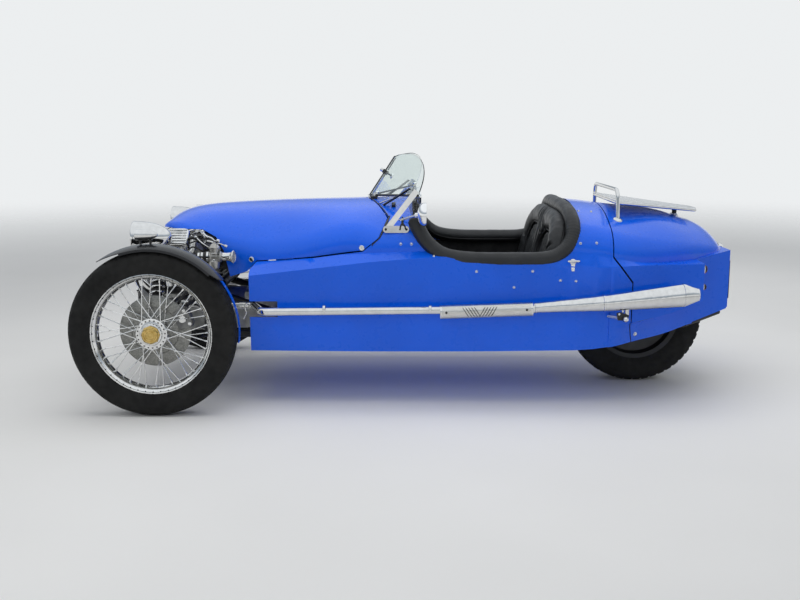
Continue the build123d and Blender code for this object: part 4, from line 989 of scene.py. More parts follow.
def headlamp(name, side):
    """Torpedo shell with its glass, bowl and stand."""
    centre = at(0, side * LAMP_Y, 722)
    shell = Shape()
    shell.lathe([(0.066, -0.1265), (0.069, -0.128), (0.0715, -0.125), (0.0722, -0.12), (0.07, -0.115),
                 (0.069, -0.112), (0.0695, -0.1), (0.069, -0.085), (0.0665, -0.06), (0.0615, -0.035),
                 (0.053, -0.01), (0.04, 0.013), (0.025, 0.029), (0.012, 0.0365), (0.0001, 0.038)],
                centre, (1, 0, 0), 96)
    shell_obj = shell.build(f"lamp_shell_{name}", angle=60)
    glass = Shape()
    rings = [(0.0001, -0.136), (0.02, -0.1352), (0.04, -0.1326), (0.055, -0.129), (0.0655, -0.124),
             (0.0655, -0.1215), (0.055, -0.1262), (0.04, -0.1296), (0.02, -0.1322), (0.0001, -0.133)]
    glass.lathe(rings, centre, (1, 0, 0), 72)
    glass.build(f"lamp_glass_{name}", slot="glass", material=LENS)
    bowl = Shape()
    bowl.lathe([(0.065, -0.12), (0.06, -0.105), (0.048, -0.088), (0.03, -0.076), (0.012, -0.072),
                (0.0001, -0.0718)], centre, (1, 0, 0), 64)
    bowl.lathe([(0.0001, -0.098), (0.006, -0.096), (0.0085, -0.088), (0.0085, -0.072)], centre, (1, 0, 0),
               24)
    bowl.build(f"lamp_bowl_{name}", slot="mirror_chrome", angle=60)
    stand = Shape()
    stand.lathe([(0.013, -0.072), (0.013, -0.05), (0.017, -0.046), (0.017, -0.042), (0.012, -0.038),
                 (0.011, 0.004)], at(-52, side * LAMP_Y, 700), (0, 0, 1), 32)
    stand.rod(at(-52, side * 294, 655), at(-46, side * 294, 609), 0.008, 20)
    stand.build(f"lamp_stand_{name}")
    return shell_obj


def lamp_bar():
    """Bar across the car that carries the headlamps."""
    bar = Shape()
    bar.tube([at(-52, -408, 655), at(-52, -406, 655), at(-52, 406, 655), at(-52, 408, 655)],
             [0.008, 0.011, 0.011, 0.008], 28)
    return bar.build("lamp_bar")


def side_lamp(name, side):
    """Small torpedo lamp on the mudguard, on two black feet."""
    centre = at(0, side * HALF_TRACK, 760)
    shell = Shape()
    shell.lathe([(0.0205, -0.057), (0.0222, -0.0565), (0.0228, -0.053), (0.0222, -0.049), (0.0218, -0.03),
                 (0.0205, -0.01), (0.0175, 0.008), (0.0125, 0.024), (0.006, 0.033), (0.0001, 0.035)],
                centre, (1, 0, 0), 48)
    obj = shell.build(f"side_lamp_shell_{name}", BODY_OF[name], angle=60)
    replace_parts(obj, f"side_lamp_{name}")
    glass = Shape()
    glass.lathe([(0.0001, -0.061), (0.01, -0.06), (0.017, -0.058), (0.0205, -0.0555), (0.0205, -0.054),
                 (0.0001, -0.056)], centre, (1, 0, 0), 36)
    glass.build(f"side_lamp_glass_{name}", BODY_OF[name], "glass", material=LENS)
    foot = Shape()
    for station in (-38, 4):
        foot.lathe([(0.005, 0.0), (0.005, 0.018), (0.0035, 0.02), (0.0035, 0.03)],
                   at(station, side * HALF_TRACK, 722), (0, 0, 1), 16)
    foot.slab([(-0.046, -0.007), (0.014, -0.007), (0.014, 0.007), (-0.046, 0.007)],
              at(0, side * HALF_TRACK, 737), (1, 0, 0), (0, 1, 0), 0.003)
    foot.build(f"side_lamp_foot_{name}", BODY_OF[name], "guard_paint", material=BLACK_PLASTIC, bevel=0.0006)


lamp_shells = [headlamp(tag, sign) for tag, sign in SIDES]
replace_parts(lamp_shells[0], "headlamps")
lamp_bar()
for tag, sign in SIDES:
    side_lamp(tag, sign)


# Screen, mirrors, rack, rear lamps


def pane_axes(side):
    """Origin, upper direction along the foot, up the pane, and its front, for one pane."""
    foot, head = at(886, 0, 874), at(1004, 0, 1056)
    along = (at(1106, side * 420, 900) - foot).normalized()
    normal = along.cross(head - foot).normalized()
    up = normal.cross(along)
    front = normal if normal.x < 0 else -normal
    return foot, along, up, normal, front


def pane_outline():
    """Edge of a pane, in metres along its foot and up it."""
    points = [(0.004, 0.004), (0.072, 0.208)]
    top = smooth_line([(0.072, 0.208, 0), (0.11, 0.215, 0), (0.19, 0.216, 0), (0.262, 0.2085, 0),
                       (0.33, 0.188, 0), (0.388, 0.157, 0), (0.436, 0.112, 0), (0.464, 0.062, 0),
                       (0.478, 0.004, 0)], 6)
    points += [(p.x, p.y) for p in top[1:]]
    return points


def screen_pane(name, side):
    """Clear pane with its edge channel, side deflector and clips."""
    foot, along, up, normal, front = pane_axes(side)
    outline = pane_outline()
    glass = Shape()
    glass.slab(outline, foot, along, up, 0.005)
    obj = glass.build(f"screen_glass_{name}", slot="glass", bevel=0.0012)
    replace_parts(obj, f"screen_pane_{name}")
    path = [foot + along * a + up * b + normal * 0.0025 for a, b in outline]
    channel = Shape()
    channel.tube([path[0], path[1]], 0.0045, 10)
    channel.tube([foot + along * a + up * 0.003 + normal * 0.0025 for a in (0.004, 0.2, 0.474)], 0.0052, 10)
    channel.build(f"screen_channel_{name}", slot="leather", material=BLACK_PLASTIC)
    wing = Shape()
    lines = smooth_line([(s / 1000, z / 1000, 0) for s, z in
                         ((1106, 910), (1115, 884), (1111, 850), (1098, 826), (1084, 812))], 6)
    outline = [(p.x, p.y) for p in lines] + [(1.078, 0.815), (1.07, 0.838), (1.063, 0.862)]
    wing.slab(outline, Vector((AXLE_X, side * 0.4182, 0)), (1, 0, 0), (0, 0, 1), side * 0.003)
    wing.build(f"deflector_{name}", slot="glass", material=SMOKED, bevel=0.0006)
    rib = Shape()
    rib.rod(at(1103, side * 420, 900), at(1086, side * 420, 822), 0.0022, 8)
    rib.build(f"deflector_rib_{name}", slot="frame_paint", material=BLACK_PLASTIC)
    holder = Shape()
    for a, b in ((0.058, 0.0), (0.455, 0.0)):
        spot = foot + along * a + up * (b + 0.004) + normal * 0.0025
        holder.slab([(-0.014, -0.01), (0.014, -0.01), (0.014, 0.014), (-0.014, 0.014)], spot + front * 0.006,
                    along, up, -0.012 if normal.dot(front) > 0 else 0.012)
        holder.bolt(spot + front * 0.006, front, 0.007, 0.003)
    holder.build(f"pane_clips_{name}", bevel=0.0006)


def wiper(side):
    """Arm and blade lying on one pane, their near ends set by the photograph."""
    front = pane_axes(side)[4]
    near_foot, _, _, _, near_front = pane_axes(-1)
    ends = []
    for px, py in ((374.0, 206.0), (383.5, 205.0), (410.0, 188.5)):
        point = seen_on_plane(px, py, near_foot + near_front * 0.01, near_front)
        ends.append(point if side < 0 else mirrored(point))
    arm_low, blade_low, blade_high = ends
    spot, _ = crown(TUB, (arm_low.x - AXLE_X) * 1000, arm_low.y * 1000)
    middle = blade_low.lerp(blade_high, 0.42)
    arm = Shape()
    base = spot if spot and abs(spot.z - arm_low.z) < 0.06 else arm_low
    arm.rod(base - Vector((0, 0, 0.006)), arm_low + front * 0.004, 0.0055, 16)
    arm.tube([arm_low, arm_low.lerp(middle, 0.35) + front * 0.004, middle + front * 0.004],
             [0.0045, 0.0032, 0.0024], 10)
    arm.dome(arm_low + front * 0.004, front, 0.0085, 0.006, 20)
    tag = "left" if side < 0 else "right"
    arm.build(f"wiper_arm_{tag}")
    blade = Shape()
    way = (blade_high - blade_low).normalized()
    rise = front.cross(way).normalized()
    length = (blade_high - blade_low).length
    for half, thickness in ((0.0035, 0.0035), (0.0015, -0.006)):
        outline = [(0, -half), (length, -half), (length, half), (0, half)]
        blade.slab(outline, blade_low, way, rise, thickness)
    blade.dome(middle + front * 0.002, front, 0.005, 0.004, 12)
    blade.build(f"wiper_blade_{tag}", slot="leather", material=BLACK_PLASTIC, bevel=0.0006)


def pillar_fittings():
    """Clamp and slim mirror on the pillar, and the rubber blocks at the feet of the panes."""
    foot, head = at(886, 0, 868), at(1004, 0, 1050)
    along = (head - foot).normalized()
    forward = Vector((-along.z, 0, along.x))
    spot = foot.lerp(head, 0.64)
    clamp = Shape()
    clamp.lathe([(0.0092, -0.01), (0.014, -0.01), (0.015, -0.007), (0.015, 0.007), (0.014, 0.01),
                 (0.0092, 0.01)], spot, along, 28, closed=True)
    clamp.rod(spot - forward * 0.01, spot - forward * 0.034, 0.004, 12)
    clamp.build("mirror_clamp", slot="leather", material=BLACK_PLASTIC, bevel=0.0006)
    knob = Shape()
    knob.lathe([(0.004, 0.012), (0.0085, 0.016), (0.009, 0.024), (0.0065, 0.029), (0.0001, 0.03)], spot,
               forward, 24)
    knob.lathe([(0.0095, 0.004), (0.0125, 0.004), (0.013, -0.002), (0.0095, -0.002)], foot.lerp(head, 0.02),
               along, 24)
    knob.lathe([(0.0092, 0.0), (0.01, 0.002), (0.008, 0.006), (0.0001, 0.008)], head, along, 24)
    knob.build("pillar_caps")
    mirror = Shape()
    centre = spot - forward * 0.036
    ring = []
    for t, r, o in ((0, 0.3, -0.006), (1, 0.75, -0.0055), (2, 1.0, -0.002), (3, 1.0, 0.002),
                    (4, 0.7, 0.0055), (5, 0.3, 0.0075)):
        row = []
        for k in range(40):
            a = 2 * math.pi * k / 40
            c, s = math.cos(a), math.sin(a)
            row.append(centre + Vector((0, math.copysign(abs(c) ** 0.6, c) * 0.048 * r, 0))
                       + along * (math.copysign(abs(s) ** 0.8, s) * 0.013 * r) + forward * o)
        ring.append(row)
    mirror.grid(ring, wrap_columns=True)
    mirror.faces += [tuple(range(40))[::-1], tuple(range(200, 240))]
    mirror.build("rear_view_mirror", slot="mirror_chrome", angle=40)
    rubber = Shape()
    for side in (-1, 1):
        for station, y, length in ((908, 62, 30), (1000, 212, 18)):
            spot, normal = crown(TUB, station, side * y)
            if spot:
                across = Vector((0, 1, 0)).cross(normal).normalized()
                rubber.slab([(-length / 2000, -0.017), (length / 2000, -0.017), (length / 2000, 0.017),
                             (-length / 2000, 0.017)], spot + normal * -0.003, across, normal.cross(across),
                            0.016)
    rubber.build("pane_blocks", slot="leather", material=BLACK_PLASTIC, bevel=0.003)


def door_mirror(name, side):
    """Round mirror with its jointed arm on a black stalk with two legs."""
    knee = at(1039, side * MIRROR_Y, 803)
    head = at(1112, side * 530, 832)
    way = (head - knee).normalized()
    arm = Shape()
    arm.tube([knee - way * 0.03, knee - way * 0.026, knee, head - way * 0.03],
             [0.0012, 0.0045, 0.006, 0.0052], 16)
    arm.lathe([(0.0001, -0.011), (0.007, -0.009), (0.0105, -0.003), (0.0105, 0.003), (0.007, 0.009),
               (0.0001, 0.011)], head - way * 0.026, way, 24)
    arm.lathe([(0.0001, -0.009), (0.0055, -0.007), (0.0085, 0.0), (0.0055, 0.007), (0.0001, 0.009)],
              head - way * 0.006, way, 24)
    arm.build(f"mirror_arm_{name}")
    bowl = Shape()
    centre = at(1138, side * 530, 832)
    bowl.lathe([(0.045, 0.0), (0.0488, 0.0005), (0.05, -0.002), (0.05, -0.0075), (0.0492, -0.012),
                (0.0455, -0.0195), (0.038, -0.027), (0.027, -0.033), (0.014, -0.037), (0.008, -0.038),
                (0.007, -0.046), (0.0001, -0.0465)], centre, (1, 0, 0), 96)
    obj = bowl.build(f"mirror_bowl_{name}", slot="mirror_chrome", angle=50)
    glass = Shape()
    glass.lathe([(0.045, 0.0), (0.044, -0.0012), (0.03, -0.0006), (0.0001, 0.0002)], centre, (1, 0, 0), 64)
    glass.build(f"mirror_glass_{name}", slot="mirror_chrome", angle=60)
    stalk = Shape()
    stalk.tube([at(1039, side * MIRROR_Y, 776), at(1039, side * MIRROR_Y, 790),
                at(1039, side * MIRROR_Y, 806)], [0.0065, 0.0052, 0.0052], 14)
    stalk.tube([at(1039, side * 433, 790), at(1030, side * 438, 772), at(1028, side * 438, 757)], 0.0034, 10)
    stalk.tube([at(1039, side * 433, 788), at(1050, side * 438, 772), at(1052, side * 438, 762)], 0.0034, 10)
    stalk.rod(at(1039, side * MIRROR_Y, 806), at(1039, side * MIRROR_Y, 814), 0.003, 10)
    stalk.build(f"mirror_stalk_{name}", slot="leather", material=BLACK_PLASTIC, bevel=0.0005)
    screws = Shape()
    for station in (967, 1056):
        screws.lathe([(0.0055, -0.001), (0.0055, 0.0006), (0.0048, 0.0014), (0.0001, 0.0018)],
                     at(station, side * 436, 760), (0, side, 0), 18)
    screws.build(f"plate_screws_{name}", slot="frame_paint", material=DARK)
    return obj


SLAT_COUNT = 9


def rack_half(station):
    """Half width of the rack's fan at a station."""
    narrowing = RACK_REAR_HALF - RACK_FRONT_HALF
    return RACK_FRONT_HALF + narrowing * (station - RACK_FRONT) / (RACK_REAR - RACK_FRONT)


def luggage_platform():
    """Polished slats over the rack's bars, fanned as the bars are, with rolled ends and rivets."""
    slats, rivets = Shape(), Shape()
    for k in range(SLAT_COUNT):
        rows = []
        low_share, high_share = -1 + 2 * k / SLAT_COUNT, -1 + 2 * (k + 1) / SLAT_COUNT
        for t in range(13):
            station = 1986 + (2409 - 1986) * t / 12
            half = rack_half(station)
            z = RACK_FRONT_Z + RACK_FALL * (station - RACK_FRONT) + 8.2
            gap = min(2.2, half * 0.04)
            y0, y1 = half * low_share + gap, half * high_share - gap
            section = [(y0, 0), (y0 + 0.5, 2.2), (y0 + 2.0, 3.2), ((y0 + y1) / 2, 3.8), (y1 - 2.0, 3.2),
                       (y1 - 0.5, 2.2), (y1, 0)]
            rows.append([at(station, y, z + dz) for y, dz in section])
        base = len(slats.verts)
        slats.grid(rows, wrap_columns=True)
        slats.faces += [tuple(base + i for i in range(7)), tuple(base + 84 + i for i in range(7))[::-1]]
        share = (low_share + high_share) / 2
        for station in (1998, 2130, 2262, 2394):
            z = RACK_FRONT_Z + RACK_FALL * (station - RACK_FRONT) + 11.6
            rivets.dome(at(station, rack_half(station) * share, z), (0, 0, 1), 0.0034, 0.0018, 12)
    slats.build("rack_slats", "tail", "brushed_steel", material=POLISHED, angle=50)
    rivets.build("rack_rivets", "tail")
    feet = Shape()
    for station, y in ((2320, 0), (RACK_FRONT, -288), (RACK_FRONT, 288)):
        spot, normal = crown(TAIL, station, y, above=0.8 if y else 0.9)
        if spot:
            feet.lathe([(0.009, 0.01), (0.013, 0.007), (0.019, 0.004), (0.021, 0.001), (0.021, -0.003)],
                       spot, normal, 28)
    feet.build("rack_feet", "tail")
    post = Shape()
    post.lathe([(0.0082, 0.0), (0.011, 0.002), (0.011, 0.06), (0.0082, 0.064)], at(2320, 0, 756), (0, 0, 1),
               24)
    post.build("rack_post_sleeve", "tail", "frame_paint", material=BLACK_PLASTIC)


def rear_lamps():
    """Round lamps on the tail, the plate's lamp, and the plate's rim."""
    rims, lenses = Shape(), Shape()
    for side in (-1, 1):
        for z, r in ((582, 20), (503, 15)):
            spot = at(2351.6, side * 398, z)
            scale = r / 20000
            rims.lathe([(20 * scale, 0.0), (21 * scale, 0.001), (21 * scale, 0.004), (19.5 * scale, 0.006),
                        (17.5 * scale, 0.005)], spot, (1, 0, 0), 40)
            lenses.lathe([(18 * scale, 0.004), (17.6 * scale, 0.01), (14 * scale, 0.016),
                          (8 * scale, 0.0182), (0.0001, 0.0186)], spot, (1, 0, 0), 40, relief=lambda i, j,
                         r, o: 0.0004 * (i % 2) if j in (1, 2, 3) else 0.0)
    rims_obj = rims.build("rear_lamp_rims", "tail")
    lenses.build("rear_lamp_lenses", "tail", "lamp_red", material=RED_LENS, angle=60)
    hood = Shape()
    rows = []
    for k in range(13):
        a = math.pi * k / 12
        y, z = 34 * math.cos(a), 612 + 40 * max(math.sin(a), 0.0) ** 0.6
        rows.append([at(2531, y, z), at(2536, y, z), at(2545, y * 0.98, z - 1), at(2550, y * 0.94, z - 3),
                     at(2549, y * 0.9, z - 7)])
    hood.grid(rows)
    hood.build("plate_lamp_hood", "tail", angle=50)
    base = Shape()
    base.box(at(2530.4, -34, 600), at(2544, 34, 640))
    base.build("plate_lamp_base", "tail", "frame_paint", material=BLACK_PLASTIC, bevel=0.0025)
    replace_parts(rims_obj, "rear_lamps")
    edge = Shape()
    line = [(-190, 420), (190, 420), (190, 590), (-190, 590)]
    for (y0, z0), (y1, z1) in zip(line, line[1:] + line[:1]):
        edge.tube([at(2534.2, y0, z0), at(2534.2, y1, z1)], 0.0022, 8)
    for y in (-165, 165):
        edge.dome(at(2534, y, 505), (1, 0, 0), 0.006, 0.002, 16)
    edge.build("plate_rim", "tail", "frame_paint", material=BLACK_PLASTIC)


for tag, sign in SIDES:
    screen_pane(tag, sign)
    wiper(sign)
pillar_fittings()
mirror_bowls = [door_mirror(tag, sign) for tag, sign in SIDES]
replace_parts(mirror_bowls[0], "door_mirrors")
luggage_platform()
rear_lamps()


# Engine bay and running gear


def vee_frame(side):
    """Crank centre, direction up a cylinder, and the direction square to it across the car."""
    way = Vector((0, side * math.sqrt(0.5), math.sqrt(0.5)))
    return at(60, 0, 380), way, Vector((0, way.z, -way.y))


def square_ring(centre, across, along, half, count=64, power=5.0):
    """Closed ring of a square with rounded corners."""
    ring = []
    for k in range(count):
        u, w = rounded_square(k, count, power)
        ring.append(centre + (across * u + along * w) * half)
    return ring


def rocker_cover(name, side):
    """Ribbed polished cover with its flange and four cap nuts."""
    foot, way, across = vee_frame(side)
    fore = Vector((1, 0, 0))
    cover = Shape()
    foot = foot - fore * 0.01
    steps = [(54, 405), (55, 412), (55, 419), (50.5, 420), (50, 436), (50, 456), (48.5, 472), (45, 481),
             (40, 485.5), (38, 486), (0.5, 487)]
    cover.grid([square_ring(foot + way * (d / 1000), across, fore, half / 1000) for half, d in steps],
               wrap_columns=True)
    for k in range(-2, 3):
        cover.slab([(-0.04, 0), (0.04, 0), (0.036, 0.0065), (-0.036, 0.0065)],
                   foot + way * 0.4855 + across * (0.015 * k - 0.002), fore, way, -0.004)
    for k in range(-3, 4):
        for face in (-1, 1):
            cover.slab([(-0.0015, 0), (0.0015, 0), (0.0015, 0.046), (-0.0015, 0.044)],
                       foot + way * 0.421 + across * (face * 0.05) + fore * (0.0115 * k), fore, way,
                       -face * side * 0.0018)
    cover.build(f"rocker_cover_{name}", slot="engine_alloy", material=POLISHED, bevel=0.0008)
    nuts = Shape()
    for u in (-0.0475, 0.0475):
        for w in (-0.0475, 0.0475):
            spot = foot + way * 0.419 + across * u * 0.98 + fore * w * 0.98
            nuts.bolt(spot, way, 0.011, 0.007)
            nuts.dome(spot + way * 0.007, way, 0.0052, 0.0045, 16)
    oil = foot + way * 0.436 + across * -0.058
    nuts.lathe([(0.004, -0.01), (0.009, -0.008), (0.009, 0.0), (0.006, 0.003), (0.0001, 0.0035)], oil,
               -across, 20)
    nuts.tube(smooth_line([oil, oil - across * 0.016, foot + way * 0.36 - across * 0.082,
                           foot + way * 0.22 - across * 0.08, foot + way * 0.14 - across * 0.062], 8),
              0.0035, 10)
    nuts.build(f"cover_nuts_{name}")


def pushrods_and_plugs(name, side):
    """Pushrod tubes ahead of a cylinder, and two plugs with their leads behind it."""
    foot, way, across = vee_frame(side)
    fore = Vector((1, 0, 0))
    tubes = Shape()
    for k in (-1, 1):
        line = [foot + way * d - fore * 0.086 + across * (0.031 * k) for d in (0.096, 0.2, 0.3, 0.372)]
        line += [foot + way * 0.392 - fore * 0.08 + across * (0.03 * k),
                 foot + way * 0.402 - fore * 0.05 + across * (0.028 * k)]
        tubes.tube(smooth_line(line, 8), 0.0078, 16)
        for d in (0.128, 0.266, 0.352):
            centre = foot + way * d - fore * 0.086 + across * (0.031 * k)
            tubes.lathe([(0.0078, -0.006), (0.01, -0.005), (0.0112, -0.002), (0.0112, 0.002), (0.01, 0.005),
                         (0.0078, 0.006)], centre, way, 20)
    tubes.build(f"pushrod_tubes_{name}")
    for index, d in enumerate((0.322, 0.352)):
        spot = foot + way * d + fore * 0.059 + across * (0.016 if index else -0.016)
        plug = Shape()
        plug.bolt(spot, fore, 0.016, 0.01)
        plug.lathe([(0.006, 0.01), (0.0055, 0.03), (0.004, 0.032), (0.004, 0.036)], spot, fore, 20)
        plug.build(f"plug_{name}_{index}", slot="plate_blank")
        cap = Shape()
        cap.lathe([(0.0075, 0.024), (0.0085, 0.027), (0.0085, 0.052), (0.006, 0.057), (0.0001, 0.058)],
                  spot, fore, 20)
        end = at(246, side * (178 + 20 * index), 690)
        cap.tube(smooth_line([spot + fore * 0.05, spot + fore * 0.072 + Vector((0, 0, 0.004)),
                              spot.lerp(end, 0.62) + Vector((0.008, 0, -0.006)), end], 10), 0.0036, 10)
        cap.build(f"plug_lead_{name}_{index}", slot="leather", material=HOSE)


def carburettor(name, side):
    """Cast body with its bowl, clamped inlet pipe, linkage and flared bellmouth."""
    axis = Vector((1, 0, 0))
    centre = at(0, side * CARB_Y, CARB_Z)
    inlet = Shape()
    inlet.lathe([(0.0165, 0.15), (0.019, 0.153), (0.019, 0.166)], centre, axis, 40)
    inlet.tube(smooth_line([at(158, side * CARB_Y, CARB_Z), at(150, side * 398, 637),
                            at(146, side * 350, 628), at(146, side * 300, 618), at(138, side * 262, 612),
                            at(122, side * 236, 610)], 10), 0.0165, 28)
    inlet.build(f"inlet_pipe_{name}", slot="engine_alloy", material=POLISHED)
    bands = Shape()
    for s0, r in ((0.166, 0.0215), (0.19, 0.0235)):
        bands.lathe([(r - 0.003, s0), (r, s0 + 0.001), (r, s0 + 0.01), (r - 0.003, s0 + 0.011)], centre,
                    axis, 44)
        bands.rod(centre + Vector((s0 + 0.0055, -0.008, r + 0.002)),
                  centre + Vector((s0 + 0.0055, 0.01, r + 0.002)), 0.0035, 12)
    bands.build(f"clamp_bands_{name}")
    rubber = Shape()
    rubber.lathe([(0.018, 0.16), (0.02, 0.162), (0.0205, 0.18), (0.0225, 0.186), (0.0225, 0.204),
                  (0.018, 0.205)], centre, axis, 40)
    rubber.build(f"inlet_rubber_{name}", slot="leather", material=HOSE)
    body = Shape()
    body.lathe([(0.015, 0.201), (0.0225, 0.203), (0.0235, 0.207), (0.0205, 0.211), (0.02, 0.24),
                (0.023, 0.243), (0.024, 0.25), (0.019, 0.256), (0.015, 0.258)], centre, axis, 44)
    body.lathe([(0.0205, 0.01), (0.0215, 0.014), (0.0215, 0.034), (0.024, 0.036), (0.024, 0.042),
                (0.02, 0.045), (0.015, 0.054), (0.006, 0.057), (0.0055, 0.064), (0.0001, 0.065)],
               at(224, side * CARB_Y, CARB_Z), (0, 0, 1), 40)
    body.lathe([(0.016, 0.012), (0.0225, 0.018), (0.0235, 0.022), (0.022, 0.048), (0.017, 0.054),
                (0.007, 0.056), (0.0065, 0.062), (0.0001, 0.063)], at(222, side * CARB_Y, CARB_Z),
               (0, 0, -1), 40)
    body.box(at(207, side * CARB_Y - 12, 622), at(250, side * CARB_Y + 12, 658))
    obj = body.build(f"carburettor_body_{name}", slot="carburettor_alloy", bevel=0.0012)
    details = Shape()
    for s, z in ((212, 684), (236, 684), (212, 690), (224, 703)):
        details.bolt(at(s, side * (432 if z < 695 else 418), z - 9), (0, 0, 1), 0.007, 0.004)
    details.rod(at(213, side * 442, 656), at(246, side * 442, 656), 0.003, 10)
    details.rod(at(244, side * 400, 656), at(244, side * 446, 656), 0.0042, 12)
    details.slab([(-0.005, -0.005), (0.024, -0.004), (0.024, 0.004), (-0.005, 0.006)],
                 at(244, side * 444, 656), (0.3, 0, 0.95), (0.95, 0, -0.3), 0.003)
    details.dome(at(224, side * 440, 628), (0, side, 0), 0.0055, 0.004, 14)
    details.tube([at(205, side * 430, 626), at(238, side * 430, 626)], 0.0045, 12)
    details.build(f"carburettor_links_{name}")
    mouth_axis = Vector((math.cos(math.radians(9)), side * math.sin(math.radians(9)), 0))
    root = at(252, side * CARB_Y, CARB_Z)
    mouth = Shape()
    mouth.lathe([(0.015, 0.0), (0.018, 0.002), (0.018, 0.014), (0.0172, 0.018), (0.0174, 0.026),
                 (0.0188, 0.036), (0.0216, 0.045), (0.0262, 0.052), (0.0284, 0.0545), (0.029, 0.057),
                 (0.028, 0.059), (0.0262, 0.0585), (0.024, 0.0555)], root, mouth_axis, 72)
    mouth.build(f"bellmouth_{name}", slot="carburettor_alloy", material=POLISHED, angle=60)
    # A grey cap closes the bellmouth behind its mesh: painted shade for the carburettor's throat.
    mesh = Shape()
    mesh.lathe([(0.0255, 0.056), (0.02, 0.059), (0.011, 0.0612), (0.0001, 0.0618)], root, mouth_axis, 40)
    mesh.build(f"mouth_painted_shade_{name}", slot="leather", material=MESH_SHADE)
    wires = Shape()
    way, right, up = axes_of(mouth_axis)
    for k in range(-5, 6):
        offset = k * 0.0046
        reach = math.sqrt(max(0.0255**2 - offset**2, 0))
        for a, b in ((right, up), (up, right)):
            line = []
            for t in range(9):
                p = -reach + 2 * reach * t / 8
                rise = 0.0622 - 0.006 * ((p * p + offset * offset) / 0.0255**2)
                line.append(root + a * offset + b * p + way * rise)
            wires.tube(line, 0.0006, 5)
    wires.build(f"mouth_mesh_{name}", slot="brushed_steel")
    return obj


def in_view(points, y):
    """Places on an upright plane along the car, from points of the view."""
    origin = Vector((0, y, 0))
    return [seen_on_plane(px, py, origin, Vector((0, 1, 0))) for px, py in points]


# name, distance from the middle, radius, polished or rubber, points of the view
BAY_RODS = [
    ("throttle_rod", 0.402, 0.0028, True, [(194.5, 238.0), (203.0, 243.6), (211.5, 249.4)]),
    ("fuel_pipe", 0.398, 0.0044, True,
     [(203.0, 241.6), (208.4, 241.3), (212.8, 242.6), (215.2, 246.4), (216.4, 249.0)]),
    ("breather_pipe", 0.372, 0.0042, True,
     [(201.0, 232.8), (206.5, 236.2), (211.5, 238.2), (214.6, 241.0), (217.6, 241.4)]),
    ("cable_high", 0.386, 0.003, False,
     [(187.0, 245.0), (192.0, 242.4), (199.0, 240.3), (208.0, 239.6), (219.0, 243.0)]),
    ("cable_low", 0.39, 0.0036, False, [(187.5, 250.5), (192.5, 247.0), (199.0, 249.5), (204.0, 253.0)]),
    ("cable_cross", 0.38, 0.0034, False, [(190.5, 234.5), (197.0, 239.0), (203.5, 246.5), (206.0, 252.5)]),
    ("oil_hose", 0.35, 0.0068, False,
     [(186.0, 240.0), (193.0, 238.0), (201.5, 241.5), (209.0, 249.0), (214.0, 257.5)]),
    ("bay_link", 0.436, 0.0026, True, [(214.0, 245.0), (219.0, 243.6), (225.5, 246.2)]),
]


def engine_bay(name, side):
    """Coil, boxes, unions and pipes that fill the opening under the bonnet."""
    for label, y, radius, polished, points in BAY_RODS:
        line = [Vector((p.x, side * abs(p.y), p.z)) for p in in_view(points, -y)]
        line[0].y -= side * 0.03
        line[-1].y -= side * 0.006
        piece = Shape()
        piece.tube(smooth_line(line, 10), radius, 12)
        if polished:
            collar = [(radius * 1.9, -0.006), (radius * 2.1, -0.003), (radius * 2.1, 0.003),
                      (radius * 1.9, 0.006)]
            for spot, way in ((line[0], line[1] - line[0]), (line[-1], line[-1] - line[-2])):
                piece.lathe(collar, spot, way, 6)
            piece.build(f"{label}_{name}")
        else:
            piece.build(f"{label}_{name}", slot="leather", material=HOSE)
    black = Shape()
    black.lathe([(0.0001, 0.0), (0.022, 0.001), (0.0255, 0.006), (0.0255, 0.096), (0.02, 0.104),
                 (0.012, 0.11), (0.008, 0.122), (0.0001, 0.123)], at(120, side * 262, 706), (1, 0, 0), 36)
    black.box(at(166, side * 250 - 34, 566), at(286, side * 250 + 34, 666))
    black.box(at(176, side * 330 - 22, 586), at(236, side * 330 + 22, 632))
    black.lathe([(0.03, 0.0), (0.033, 0.004), (0.033, 0.06), (0.024, 0.07), (0.0001, 0.072)],
                at(300, side * 260, 560), (0, 0, 1), 32)
    black.build(f"bay_boxes_{name}", slot="leather", material=BLACK_PLASTIC, bevel=0.003)
    bright = Shape()
    for s, y, z, axis, r, h in ((150, 262, 706, (1, 0, 0), 0.0272, 0.012),
                                (212, 262, 706, (1, 0, 0), 0.0272, 0.01),
                                (186, 352, 612, (0, side, 0), 0.012, 0.012),
                                (226, 352, 606, (0, side, 0), 0.009, 0.014),
                                (200, 352, 640, (0.3, side, 0.5), 0.008, 0.016),
                                (260, 285, 640, (0, side, 0), 0.011, 0.012)):
        bright.lathe([(r * 0.9, 0.0), (r, 0.001), (r, h - 0.001), (r * 0.9, h), (0.0001, h)],
                     at(s, side * y, z), axis, 28)
    bright.slab([(-0.016, -0.005), (0.016, -0.005), (0.016, 0.005), (-0.016, 0.005)],
                at(140, side * 296, 716), (1, 0, 0), (0, 0, 1), -side * 0.003)
    bright.rod(at(140, side * 286, 712), at(140, side * 296, 716), 0.004, 12)
    bright.build(f"bay_unions_{name}", bevel=0.0004)


